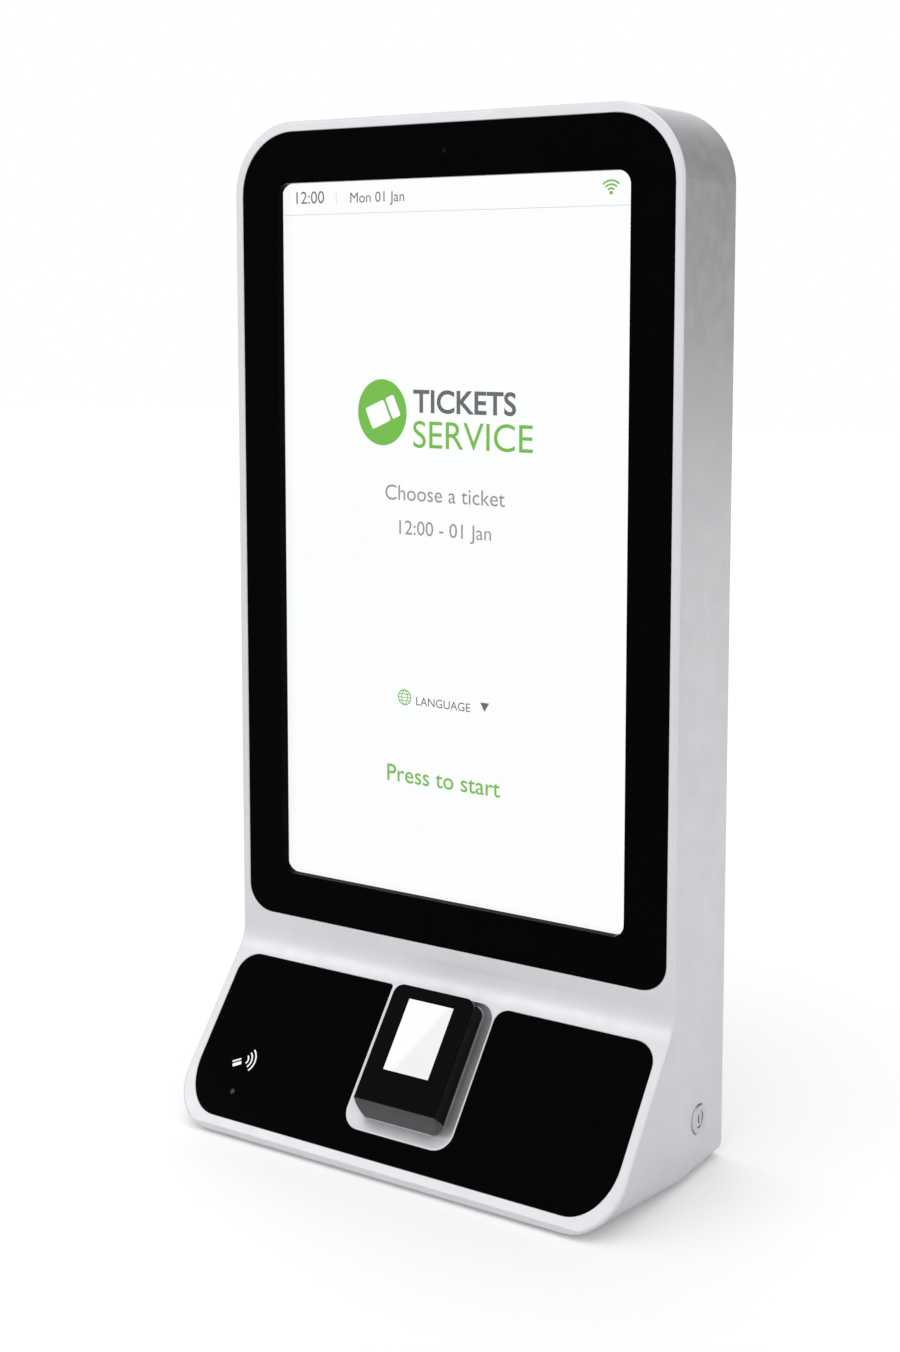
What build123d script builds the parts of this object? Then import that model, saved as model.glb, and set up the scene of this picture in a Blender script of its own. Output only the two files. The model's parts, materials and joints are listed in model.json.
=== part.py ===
"""Self-service payment terminal: an upright touch screen over a sloping card reader console.

Frame: millimetres, +Z up, the screen faces -Y, origin under the middle of the housing on the
surface that it stands on. The console is drawn on its own sloping plane, where u runs across
and t runs down the slope from the line where it meets the upright front.
"""

from build123d import *
from math import cos, radians, sin, tan
import os

os.makedirs("parts", exist_ok=True)

# ---- driving dimensions -------------------------------------------------------------------

# housing
half_width = 170.0
top_z = 677.0
foot_height = 2.0
front_y = 5.0
rear_y = 78.0
nose_y = -78.0
bend_z = 108.6
slope_angle = 50.8
corner_radius = 48.0
toe_radius = 34.0
heel_radius = 8.0
heel_y = 20.0
bend_radius = 25.0
edge_radius = 1.8
rear_edge_radius = 1.2
wall = 2.5
seam = 0.15
flange_lap = 3.0

# screen
bezel_half = 163.7
bezel_top_z = 670.2
bezel_bottom_z = 129.3
bezel_top_radius = 42.0
bezel_bottom_radius = 18.5
window_half = 133.9
window_bottom_z = 160.06
window_top_z = 636.06
window_radius = 9.0
screen_recess = 5.7
bezel_set_back = 0.2
glass_thickness = 3.0
glass_lap = 9.0
panel_thickness = 13.8
panel_half = 146.0
panel_height = 495.6
boss_x = 155.0
boss_radius = 4.0
strap_thickness = 1.5
strap_width = 22.0
strap_levels = {"lower": 230.0, "middle": 398.0, "upper": 566.0}

# console panel, in u and t
console_half = 162.9
console_top_t = 11.4
console_bottom_t = 125.0
console_corner = 15.0
console_rim = 6.3
console_thickness = 4.5

# reader and its dish, in u, t and the height h above the console
dish_left_u = -35.0
dish_right_u = 45.6
dish_top_t = 10.6
dish_bottom_t = 108.3
dish_corner = 12.0
dish_depth = 3.0
dish_rim = 1.0
dish_floor_inset = 8.4
reader_left_u = -26.3
reader_right_u = 36.0
reader_top_t = 12.8
reader_face_end_t = 91.7
reader_foot_t = 99.6
reader_height = 12.0
reader_corner = 7.0
reader_skin = 2.2
display_left_u = -12.3
display_right_u = 22.4
display_top_t = 21.5
display_bottom_t = 70.2
core_half_u = 24.0
core_top_t = 24.0
core_bottom_t = 84.0
core_depth = 24.0

# rear cover and hinges
cover_gap = 3.5
cover_skin = 1.5
cover_depth = 13.5
cover_edge_radius = 4.0
cover_corner_radius = 5.0
hinge_levels = {"lower": 110.0, "upper": 560.0}
hinge_length = 40.0
knuckle_radius = 2.5
knuckle_proud = 2.0
hinge_pin_radius = 1.25
hinge_inset = 6.0
hinge_clearance = 0.05
leaf_thickness = 1.5
vesa_pitch = 100.0
vesa_level = 398.0
vesa_hole_radius = 2.25

# lock
lock_y = 41.4
lock_z = 37.9
lock_head_radius = 9.5
lock_head_height = 0.9
lock_ring_gap = 0.35
lock_seat_x = 164.0
lock_nut_x = 158.0
lock_boss_radius = 13.0
lock_body_radius = 8.0
plug_radius = 5.5
plug_clearance = 0.05
lock_length = 20.0
cam_length = 21.0
cam_half_width = 6.0
cam_thickness = 2.0

# connector plate
plate_half = 46.0
plate_top_z = 46.0
plate_y = 74.0
plate_thickness = 2.0
inlet_x = -18.0
connector_z = 26.0
switch_x = 17.0
grommet_x = 36.0
grommet_bore_radius = 3.2

# inner parts
chassis_y = 34.0
chassis_thickness = 1.5
board_y = 41.5
board_thickness = 1.6
board_centre = (60.0, 510.0)
board_size = (146.0, 102.0)
fan_centre = (75.0, 515.0)
fan_size = 60.0
fan_depth = 10.0
fan_bore_radius = 28.5
fan_rear_y = 71.0
supply_centre = (-20.0, 285.0)
supply_size = (160.0, 90.0)
supply_depth = 28.0

# bottom
foot_radius = 9.0
foot_places = [(-105.0, -56.0), (105.0, -56.0), (-105.0, 62.0), (105.0, 62.0)]
counter_hole_radius = 3.25
counter_pitch_x = 200.0
counter_pitch_y = 70.0
counter_centre_y = 10.0

# ---- values that follow from them -----------------------------------------------------------

alpha = radians(slope_angle)
base_z = foot_height
housing_height = top_z - base_z
housing_mid_z = (top_z + base_z) / 2
glass_y = front_y + bezel_set_back + screen_recess
panel_y = glass_y + glass_thickness
panel_rear_y = panel_y + panel_thickness
window_mid_z = (window_top_z + window_bottom_z) / 2
window_height = window_top_z - window_bottom_z
strap_y = panel_rear_y + 0.1
hinge_x = -(half_width - hinge_inset)
hinge_y = rear_y + knuckle_proud - knuckle_radius
cover_rear_y = rear_y - 0.2
cover_inner_y = cover_rear_y - cover_skin
cover_front_y = cover_rear_y - cover_depth
console_ellipse_u = toe_radius - console_rim
console_ellipse_t = console_ellipse_u / sin(alpha)
dish_mid_u = (dish_left_u + dish_right_u) / 2
reader_mid_u = (reader_left_u + reader_right_u) / 2
lock_inner_x = half_width - lock_length
slope_plane = Plane(origin=(0, front_y, bend_z), x_dir=(1, 0, 0), z_dir=(0, -sin(alpha), cos(alpha)))


def front_plane(y):
    # A plane facing -Y, in which a sketch reads as x across and z up
    return Plane(origin=(0, y, 0), x_dir=(1, 0, 0), z_dir=(0, -1, 0))


def side_plane(x):
    # A plane facing +X, in which a sketch reads as y across and z up
    return Plane(origin=(x, 0, 0), x_dir=(0, 1, 0), z_dir=(1, 0, 0))


def save(piece, node):
    # Labels a finished piece and writes its file
    piece.part.label = node
    export_step(piece.part, f"parts/{node}.step")


# ---- outlines that several pieces share -------------------------------------------------------


def side_profile(inset, rear):
    # Side view of the housing, inset by a wall thickness: upright front, bend, slope and chin
    bottom = base_z + inset
    upright_y = front_y + inset
    chin_y = nose_y + inset
    slope_z = bend_z - inset / cos(alpha) - front_y * tan(alpha)
    with BuildLine() as outline:
        Polyline(
            (rear, bottom),
            (rear, top_z - inset),
            (upright_y, top_z - inset),
            (upright_y, slope_z + upright_y * tan(alpha)),
            (chin_y, slope_z + chin_y * tan(alpha)),
            (chin_y, bottom),
            close=True,
        )
    make_face(outline.edges())
    bend = vertices().sort_by_distance((upright_y, slope_z + upright_y * tan(alpha)))[0]
    fillet(bend, bend_radius + inset)


def housing_outline(inset):
    # Front view of the housing, inset all round, before its lower corners are rounded
    with Locations((0, housing_mid_z)):
        Rectangle(2 * (half_width - inset), housing_height - 2 * inset)
    fillet(vertices().group_by(Axis.Y)[-1], corner_radius - inset)


def make_corner_cutter(inset):
    # What is cut off the lower corners: wide at the toe, tapering to a tight radius at the heel
    side = half_width - inset
    bottom = base_z + inset
    stations = ((nose_y - 1, toe_radius - inset), (heel_y, heel_radius - inset))
    with BuildPart() as cutter:
        for y, radius in stations:
            with BuildSketch(front_plane(y)):
                corner_sliver(side, bottom, radius)
        loft()
        with BuildSketch(front_plane(heel_y)):
            corner_sliver(side, bottom, heel_radius - inset)
        extrude(amount=heel_y - rear_y - 30)
        mirror(about=Plane.YZ)
    return cutter.part


def corner_sliver(side, bottom, radius):
    # The corner outside a quarter circle that touches the side wall and the bottom
    with BuildLine() as outline:
        CenterArc((side - radius, bottom + radius), radius, 0, -90)
        Polyline(
            (side - radius, bottom),
            (side - radius, bottom - 1),
            (side + 1, bottom - 1),
            (side + 1, bottom + radius),
            (side, bottom + radius),
        )
    make_face(outline.edges())


def bezel_outline(grow):
    # Front view of the bezel: wide top corners, tighter bottom corners
    with Locations((0, (bezel_top_z + bezel_bottom_z) / 2)):
        Rectangle(2 * (bezel_half + grow), bezel_top_z - bezel_bottom_z + 2 * grow)
    fillet(vertices().group_by(Axis.Y)[-1], bezel_top_radius + grow)
    fillet(vertices().group_by(Axis.Y)[0], bezel_bottom_radius + grow)


def console_outline(grow):
    # Console panel on the slope: its lower corners keep an even rim inside the housing's corners
    half = console_half + grow
    top = -console_top_t + grow
    bottom = -console_bottom_t - grow
    corner = console_corner + grow
    long_u = console_ellipse_u + grow
    long_t = console_ellipse_t + grow
    with BuildLine() as outline:
        Line((corner - half, top), (half - corner, top))
        CenterArc((half - corner, top - corner), corner, 90, -90)
        Line((half, top - corner), (half, bottom + long_t))
        EllipticalCenterArc((half - long_u, bottom + long_t), long_u, long_t, 0, arc_size=-90)
        Line((half - long_u, bottom), (long_u - half, bottom))
        EllipticalCenterArc((long_u - half, bottom + long_t), long_u, long_t, -90, arc_size=-90)
        Line((-half, bottom + long_t), (-half, top - corner))
        CenterArc((corner - half, top - corner), corner, 180, -90)
    make_face(outline.edges())


def notch_outline(grow, mode):
    # The reader's surround, open at the top edge of the console panel
    width = dish_right_u - dish_left_u + 2 * grow
    bottom = -dish_bottom_t - grow
    with BuildLine() as outline:
        Line(
            (dish_mid_u + width / 2, -console_top_t + flange_lap + 2),
            (dish_mid_u + width / 2, bottom + dish_corner + grow),
        )
        CenterArc(
            (dish_mid_u + width / 2 - dish_corner - grow, bottom + dish_corner + grow),
            dish_corner + grow,
            0,
            -90,
        )
        Line(
            (dish_mid_u + width / 2 - dish_corner - grow, bottom),
            (dish_mid_u - width / 2 + dish_corner + grow, bottom),
        )
        CenterArc(
            (dish_mid_u - width / 2 + dish_corner + grow, bottom + dish_corner + grow),
            dish_corner + grow,
            -90,
            -90,
        )
        Line(
            (dish_mid_u - width / 2, bottom + dish_corner + grow),
            (dish_mid_u - width / 2, -console_top_t + flange_lap + 2),
        )
        Line(
            (dish_mid_u - width / 2, -console_top_t + flange_lap + 2),
            (dish_mid_u + width / 2, -console_top_t + flange_lap + 2),
        )
    make_face(outline.edges(), mode=mode)


def console_face(gap):
    # The visible outline of the console panel, or of its opening in the housing when gap is 0
    console_outline(-gap)
    notch_outline(dish_rim + gap, Mode.SUBTRACT)
    top = -console_top_t - gap
    right = (dish_right_u + dish_rim + gap, top)
    left = (dish_left_u - dish_rim - gap, top)
    fillet(vertices().sort_by_distance(right)[0], 9.0)
    fillet(vertices().sort_by_distance(left)[0], 2.0)


def dish_outline(inset):
    # The dish at one depth: its floor is smaller than its mouth
    top = -dish_top_t - min(inset, 1.5)
    bottom = -dish_bottom_t + inset
    with Locations((dish_mid_u, (top + bottom) / 2)):
        RectangleRounded(
            dish_right_u - dish_left_u - 2 * inset, top - bottom, dish_corner - inset / 3
        )


def core_outline(grow):
    # The reader's inner body, and the hole in the dish that it passes through
    with Locations((reader_mid_u, -(core_top_t + core_bottom_t) / 2)):
        RectangleRounded(
            2 * (core_half_u + grow), core_bottom_t - core_top_t + 2 * grow, 4 + grow
        )


def reader_outline(inset):
    # The reader's foot
    with Locations((reader_mid_u, -(reader_top_t + reader_foot_t) / 2)):
        RectangleRounded(
            reader_right_u - reader_left_u - 2 * inset,
            reader_foot_t - reader_top_t - 2 * inset,
            reader_corner - inset,
        )


def cover_outline(inset):
    # Rear cover, inset in the back of the housing
    housing_outline(cover_gap + inset)
    fillet(vertices().group_by(Axis.Y)[0], cover_corner_radius - inset)


def is_along(edge, axis):
    # True for a straight edge along X (0), Y (1) or Z (2)
    if edge.geom_type != GeomType.LINE:
        return False
    way = tuple(edge.tangent_at(0.5))
    return abs(abs(way[axis]) - 1) < 1e-4


def is_opening_edge(edge):
    # True for an edge of the console opening on the outer face of the slope
    for place in (0.0, 0.5, 1.0):
        spot = slope_plane.to_local_coords(edge.position_at(place))
        if abs(spot.Z) > 0.005:
            return False
        if abs(spot.X) > console_half + 0.1:
            return False
        if not -console_bottom_t - 0.1 < spot.Y < -console_top_t + 0.1:
            return False
    return True


def make_screws(node, plane, places, side, shank, head):
    # A group of socket screws seated on a plane; side is +1 if the heads stand on its front
    with BuildPart() as screws:
        with BuildSketch(plane):
            with Locations(*places):
                Circle(head[0])
        extrude(amount=side * head[1])
        with BuildSketch(plane):
            with Locations(*places):
                Circle(shank[0])
        extrude(amount=-side * shank[1])
        with BuildSketch(plane.offset(side * head[1])):
            with Locations(*places):
                RegularPolygon(head[0] * 0.5, 6)
        extrude(amount=-side * head[1] * 0.6, mode=Mode.SUBTRACT)
    save(screws, node)


def make_lead(node, points, bend, radius):
    # A fixed lead: straight runs joined by arcs, swept with a round section
    with BuildPart() as lead:
        with BuildLine() as route:
            FilletPolyline(*points, radius=bend)
        with BuildSketch(Plane(origin=route.line @ 0, z_dir=route.line % 0)):
            Circle(radius)
        sweep(path=route.wire())
    save(lead, node)


# ---- housing ----------------------------------------------------------------------------------

leaf_screw_y = (44.0, 56.0)
leaf_screw_rise = 12.0
reader_screw_places = [
    (u, t) for u in (reader_left_u + 5.3, reader_right_u - 5.0) for t in (-19.0, -88.0)
]
plate_screw_places = [(-36.0, 60.0), (36.0, 60.0)]


def make_front_shell():
    with BuildPart() as cavity:
        with BuildSketch(side_plane(0)):
            side_profile(wall, rear_y + 20)
        extrude(amount=half_width, both=True)
        with BuildSketch(front_plane(0)):
            housing_outline(wall)
        extrude(amount=200, both=True, mode=Mode.INTERSECT)
        add(make_corner_cutter(wall), mode=Mode.SUBTRACT)

    with BuildPart() as lock_boss:
        with BuildSketch(side_plane(lock_nut_x)):
            with Locations((lock_y, lock_z)):
                Circle(lock_boss_radius)
        extrude(amount=12)
        with BuildSketch(front_plane(0)):
            housing_outline(1)
        extrude(amount=200, both=True, mode=Mode.INTERSECT)

    with BuildPart() as front_shell:
        with BuildSketch(side_plane(0)):
            side_profile(0, rear_y)
        extrude(amount=half_width, both=True)
        with BuildSketch(front_plane(0)):
            housing_outline(0)
        extrude(amount=200, both=True, mode=Mode.INTERSECT)
        add(make_corner_cutter(0), mode=Mode.SUBTRACT)

        rim = front_shell.edges().filter_by_position(Axis.Y, rear_y - 0.01, rear_y + 0.01)
        fillet(rim, rear_edge_radius)
        outline = [
            edge
            for edge in front_shell.edges()
            if edge.center().Y < rear_y - 5
            and not is_along(edge, 1)
            and not (is_along(edge, 0) and 90 < edge.center().Z < 130)
            and not (edge.center().Y > -50 and edge.center().Z < 45)
        ]
        fillet(outline, edge_radius)
        add(cavity.part, mode=Mode.SUBTRACT)

        # screen opening, with a bright chamfer around it
        with BuildSketch(front_plane(front_y)):
            bezel_outline(0)
        extrude(amount=-(wall + 1), mode=Mode.SUBTRACT)
        front_edges = [
            edge
            for edge in front_shell.edges()
            if abs(edge.bounding_box().min.Y - front_y) < 0.01
            and abs(edge.bounding_box().max.Y - front_y) < 0.01
            and abs(edge.center().X) < bezel_half + 0.5
            and bezel_bottom_z - 1 < edge.center().Z < bezel_top_z + 1
        ]
        chamfer(front_edges, 0.5)

        # console opening, with the same chamfer
        with BuildSketch(slope_plane):
            console_face(0)
        extrude(amount=-(wall + 0.01), mode=Mode.SUBTRACT)
        slope_edges = [edge for edge in front_shell.edges() if is_opening_edge(edge)]
        chamfer(slope_edges, 0.4)

        # thicker bed under the reader, with its dish sunk into it
        bed_top = 4.0
        bed_bottom = dish_bottom_t + dish_rim
        with BuildSketch(slope_plane.offset(0.6 - wall)):
            with Locations((dish_mid_u, -(bed_top + bed_bottom) / 2)):
                Rectangle(dish_right_u - dish_left_u + 2 * dish_rim, bed_bottom - bed_top)
            fillet(vertices().group_by(Axis.Y)[0], dish_corner + dish_rim)
        extrude(amount=-(dish_depth + 0.6))
        with BuildSketch(slope_plane):
            dish_outline(0)
        with BuildSketch(slope_plane.offset(-dish_depth)):
            dish_outline(dish_floor_inset)
        loft(mode=Mode.SUBTRACT)
        with BuildSketch(slope_plane.offset(1 - dish_depth)):
            core_outline(0.5)
            with Locations(*reader_screw_places):
                Circle(1.3)
        extrude(amount=-(wall + 3), mode=Mode.SUBTRACT)

        # a boss inside the side wall, with a sunk seat for the lock
        add(lock_boss.part)
        with BuildSketch(side_plane(lock_seat_x)):
            with Locations((lock_y, lock_z)):
                Circle(lock_head_radius + lock_ring_gap)
        extrude(amount=10, mode=Mode.SUBTRACT)
        with BuildSketch(side_plane(lock_nut_x)):
            with Locations((lock_y, lock_z)):
                Circle(lock_body_radius)
        extrude(amount=10, mode=Mode.SUBTRACT)

        # holes in the floor for bolts and plate screws
        with BuildSketch(Plane.XY):
            with Locations((0, counter_centre_y)):
                with GridLocations(counter_pitch_x, counter_pitch_y, 2, 2):
                    Circle(counter_hole_radius)
            with Locations(*plate_screw_places):
                Circle(1.6)
        extrude(amount=base_z + wall + 1, mode=Mode.SUBTRACT)
        # blind holes for the hinge leaf screws
        with BuildSketch(side_plane(-(half_width - wall) - 1.8)):
            with Locations(*leaf_screw_places()):
                Circle(1.5)
        extrude(amount=4, mode=Mode.SUBTRACT)
    save(front_shell, "front_shell")


def leaf_screw_places():
    # Hinge leaf screws in the left wall, as y and z
    return [
        (y, level + rise)
        for level in hinge_levels.values()
        for y in leaf_screw_y
        for rise in (-leaf_screw_rise, leaf_screw_rise)
    ]


def make_rubber_feet():
    with BuildPart() as rubber_feet:
        with BuildSketch(Plane.XY):
            with Locations(*foot_places):
                Circle(foot_radius)
        extrude(amount=foot_height)
    save(rubber_feet, "rubber_feet")


# ---- screen -------------------------------------------------------------------------------------

camera_z = 653.0
camera_radius = 2.0
strap_screw_places = [(x, z) for x in (-boss_x, boss_x) for z in strap_levels.values()]


def make_bezel_frame():
    front = front_y + bezel_set_back
    flange_y = front_y + wall + 0.1
    with BuildPart() as bezel_frame:
        with BuildSketch(front_plane(front)):
            bezel_outline(-seam)
        extrude(amount=-screen_recess)
        face_edges = bezel_frame.faces().sort_by(Axis.Y)[0].edges()
        chamfer(face_edges, 0.3)
        with BuildSketch(front_plane(flange_y)):
            bezel_outline(flange_lap)
        extrude(amount=flange_y - glass_y)
        with BuildSketch(front_plane(front - 1)):
            with Locations((0, window_mid_z)):
                RectangleRounded(2 * window_half, window_height, window_radius)
            with Locations((0, camera_z)):
                Circle(camera_radius)
        extrude(amount=-(screen_recess + 3), mode=Mode.SUBTRACT)
        # bosses beside the display, drilled for the strap screws
        with BuildSketch(front_plane(glass_y - 0.5)):
            with Locations(*strap_screw_places):
                Circle(boss_radius)
        extrude(amount=glass_y - 0.5 - strap_y)
        with BuildSketch(front_plane(strap_y)):
            with Locations(*strap_screw_places):
                Circle(1.3)
        extrude(amount=8, mode=Mode.SUBTRACT)
    save(bezel_frame, "bezel_frame")


def make_touch_glass():
    with BuildPart() as touch_glass:
        with BuildSketch(front_plane(glass_y)):
            with Locations((0, window_mid_z)):
                RectangleRounded(
                    2 * (window_half + glass_lap), window_height + 2 * glass_lap, 12
                )
        extrude(amount=-glass_thickness)
    save(touch_glass, "touch_glass")


def make_lcd_panel():
    with BuildPart() as lcd_panel:
        with BuildSketch(front_plane(panel_y)):
            with Locations((0, window_mid_z)):
                RectangleRounded(2 * panel_half, panel_height, 2)
        extrude(amount=-(panel_thickness - 3))
        with BuildSketch(front_plane(panel_rear_y - 3)):
            with Locations((0, window_mid_z)):
                RectangleRounded(2 * panel_half - 12, panel_height - 12, 2)
        extrude(amount=-3)
    save(lcd_panel, "lcd_panel")


def make_display_straps():
    for place, level in strap_levels.items():
        with BuildPart() as strap:
            with BuildSketch(front_plane(strap_y)):
                with Locations((0, level)):
                    SlotOverall(2 * (boss_x + 6.5), strap_width)
                with Locations((-boss_x, level), (boss_x, level)):
                    Circle(1.3, mode=Mode.SUBTRACT)
                with Locations((-standoff_x, level), (standoff_x, level)):
                    Circle(1.25, mode=Mode.SUBTRACT)
            extrude(amount=-strap_thickness)
        save(strap, f"display_strap_{place}")
    make_screws(
        "strap_screws",
        front_plane(strap_y + strap_thickness),
        strap_screw_places,
        -1,
        (1.3, 8.0),
        (2.8, 1.8),
    )


def make_camera_module():
    with BuildPart() as camera_module:
        with BuildSketch(front_plane(glass_y)):
            with Locations((0, camera_z)):
                Rectangle(9, 9)
        extrude(amount=-6)
        with BuildSketch(front_plane(glass_y)):
            with Locations((0, camera_z)):
                Circle(camera_radius - 0.1)
        extrude(amount=screen_recess - 0.4)
    save(camera_module, "camera_module")


# ---- computer and power supply --------------------------------------------------------------------

standoff_x = 100.0
chassis_size = (265.0, 360.0)
chassis_mid_x = 7.5
board_hole_x = board_size[0] / 2 - 5
board_hole_z = board_size[1] / 2 - 5
standoff_places = [(x, z) for x in (-standoff_x, standoff_x) for z in strap_levels.values()]
board_screw_places = [
    (board_centre[0] + dx, board_centre[1] + dz)
    for dx in (-board_hole_x, board_hole_x)
    for dz in (-board_hole_z, board_hole_z)
]
supply_screw_places = [
    (supply_centre[0] + dx, supply_centre[1] + dz) for dx in (-86.0, 86.0) for dz in (-30.0, 30.0)
]
chip_size = 30.0
chip_height = 1.9
sink_y = board_y + board_thickness + chip_height
fan_front_y = fan_rear_y - fan_depth
fan_hole_pitch = 50.0


def make_chassis_plate():
    with BuildPart() as chassis_plate:
        with BuildSketch(front_plane(chassis_y)):
            with Locations((chassis_mid_x, vesa_level)):
                RectangleRounded(chassis_size[0], chassis_size[1], 6)
            with Locations(*standoff_places, *board_screw_places, *supply_screw_places):
                Circle(1.25, mode=Mode.SUBTRACT)
            with Locations((-70, 400), (60, 400)):
                SlotOverall(60, 20, mode=Mode.SUBTRACT)
        extrude(amount=-chassis_thickness)
    save(chassis_plate, "chassis_plate")

    strap_back = strap_y + strap_thickness
    with BuildPart() as chassis_standoffs:
        with BuildSketch(front_plane(strap_back)):
            with Locations(*standoff_places):
                RegularPolygon(3.4, 6)
                Circle(1.25, mode=Mode.SUBTRACT)
        extrude(amount=strap_back - chassis_y)
    save(chassis_standoffs, "chassis_standoffs")
    chassis_back = chassis_y + chassis_thickness
    make_screws(
        "chassis_screws", front_plane(chassis_back), standoff_places, -1, (1.25, 7.0), (2.6, 1.6)
    )

    with BuildPart() as board_standoffs:
        with BuildSketch(front_plane(chassis_back)):
            with Locations(*board_screw_places):
                RegularPolygon(3.2, 6)
                Circle(1.25, mode=Mode.SUBTRACT)
        extrude(amount=chassis_back - board_y)
    save(board_standoffs, "board_standoffs")


def make_mainboard():
    board_back = board_y + board_thickness
    with BuildPart() as mainboard:
        with BuildSketch(front_plane(board_y)):
            with Locations(board_centre):
                RectangleRounded(board_size[0], board_size[1], 3)
            with Locations(*board_screw_places):
                Circle(1.25, mode=Mode.SUBTRACT)
        extrude(amount=-board_thickness)
    save(mainboard, "mainboard")
    make_screws(
        "board_screws", front_plane(board_back), board_screw_places, -1, (1.25, 8.0), (2.6, 1.6)
    )

    with BuildPart() as processor:
        with BuildSketch(front_plane(board_back)):
            with Locations(fan_centre):
                Rectangle(chip_size, chip_size)
        extrude(amount=-chip_height)
    save(processor, "processor")

    with BuildPart() as memory_module:
        with BuildSketch(front_plane(board_back)):
            with Locations((12, 515)):
                Rectangle(32, 68)
        extrude(amount=-5)
    save(memory_module, "memory_module")

    with BuildPart() as board_connectors:
        with BuildSketch(front_plane(board_back)):
            with Locations((8, 466), (27, 466), (46, 466), (65, 466), (84, 466), (107, 466)):
                Rectangle(14, 12)
            with Locations((126, 500)):
                Rectangle(10, 14)
        extrude(amount=-11)
    save(board_connectors, "board_connectors")


def make_heat_sink():
    with BuildPart() as heat_sink:
        with BuildSketch(front_plane(sink_y)):
            with Locations(fan_centre):
                Rectangle(fan_size, fan_size)
        extrude(amount=-3)
        with BuildSketch(front_plane(sink_y + 2.5)):
            with Locations(fan_centre):
                with GridLocations(4.9, fan_size, 13, 1):
                    Rectangle(1.2, fan_size)
        extrude(amount=sink_y + 2.5 - fan_front_y + 0.1)
    save(heat_sink, "heat_sink")


def make_fan():
    spider_depth = 1.5
    shaft_radius = 1.5
    with BuildPart() as fan_frame:
        with BuildSketch(front_plane(fan_front_y)):
            with Locations(fan_centre):
                RectangleRounded(fan_size, fan_size, 3)
                Circle(fan_bore_radius, mode=Mode.SUBTRACT)
                with GridLocations(fan_hole_pitch, fan_hole_pitch, 2, 2):
                    Circle(1.6, mode=Mode.SUBTRACT)
        extrude(amount=-fan_depth)
        with BuildSketch(front_plane(fan_front_y)):
            with Locations(fan_centre):
                Circle(12.5)
                with PolarLocations(0, 4, 45):
                    Rectangle(fan_bore_radius + 1, 3, align=(Align.MIN, Align.CENTER))
        extrude(amount=-spider_depth)
        with BuildSketch(front_plane(fan_front_y)):
            with Locations(fan_centre):
                Circle(3.5)
        extrude(amount=-6)
        with BuildSketch(front_plane(fan_front_y)):
            with Locations(fan_centre):
                Circle(shaft_radius + 0.05)
        extrude(amount=-6, mode=Mode.SUBTRACT)
    save(fan_frame, "fan_frame")

    hub_y = fan_front_y + 2.2
    hub_plane = front_plane(hub_y + 3.2)
    blade_centre = hub_plane.from_local_coords((fan_centre[0], fan_centre[1], 0))
    blade_plane = Plane(origin=blade_centre, x_dir=(1, 0, 0), z_dir=(0, -1, 0))
    with BuildPart() as fan_rotor:
        with BuildSketch(front_plane(hub_y)):
            with Locations(fan_centre):
                Circle(12)
        extrude(amount=-6.8)
        with Locations(blade_plane):
            with PolarLocations(0, 7):
                with Locations((19.2, 0, 0)):
                    Box(16, 7.2, 1.1, rotation=(38, 0, 0))
        with BuildSketch(front_plane(hub_y)):
            with Locations(fan_centre):
                Circle(10.5)
        extrude(amount=-5.4, mode=Mode.SUBTRACT)
        with BuildSketch(front_plane(fan_front_y + 0.6)):
            with Locations(fan_centre):
                Circle(shaft_radius)
        extrude(amount=-7.5)
    save(fan_rotor, "fan_rotor")
    make_screws(
        "fan_screws",
        front_plane(fan_rear_y),
        [
            (fan_centre[0] + dx, fan_centre[1] + dz)
            for dx in (-fan_hole_pitch / 2, fan_hole_pitch / 2)
            for dz in (-fan_hole_pitch / 2, fan_hole_pitch / 2)
        ],
        -1,
        (1.6, fan_depth),
        (3.0, 1.6),
    )


def make_power_supply():
    back = chassis_y + chassis_thickness
    with BuildPart() as power_supply:
        with BuildSketch(front_plane(back)):
            with Locations(supply_centre):
                Rectangle(supply_size[0] + 26, supply_size[1] - 10)
            with Locations(*supply_screw_places):
                Circle(1.25, mode=Mode.SUBTRACT)
        extrude(amount=-1.5)
        with BuildSketch(front_plane(back + 1)):
            with Locations(supply_centre):
                RectangleRounded(supply_size[0], supply_size[1], 2)
        extrude(amount=1 - supply_depth)
        with BuildSketch(front_plane(back + supply_depth)):
            with Locations(supply_centre):
                with GridLocations(9, 30, 14, 2):
                    SlotOverall(20, 4, rotation=90)
        extrude(amount=1.2, mode=Mode.SUBTRACT)
    save(power_supply, "power_supply")
    make_screws(
        "supply_screws", front_plane(back + 1.5), supply_screw_places, -1, (1.25, 3.0), (2.6, 1.6)
    )


# ---- console ------------------------------------------------------------------------------------

led_place = (-127.0, -107.0)
led_radius = 1.75
antenna_centre = (-122.0, -80.0)


def make_console_panel():
    with BuildPart() as console_panel:
        with BuildSketch(slope_plane.offset(-0.1)):
            console_face(seam)
        extrude(amount=0.1 - console_thickness)
        with BuildSketch(slope_plane.offset(-wall - 0.1)):
            console_outline(flange_lap)
            notch_outline(dish_rim + seam, Mode.SUBTRACT)
        extrude(amount=wall + 0.1 - console_thickness)
        with BuildSketch(slope_plane):
            with Locations(led_place):
                Circle(led_radius)
        extrude(amount=-console_thickness - 1, mode=Mode.SUBTRACT)
    save(console_panel, "console_panel")


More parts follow.
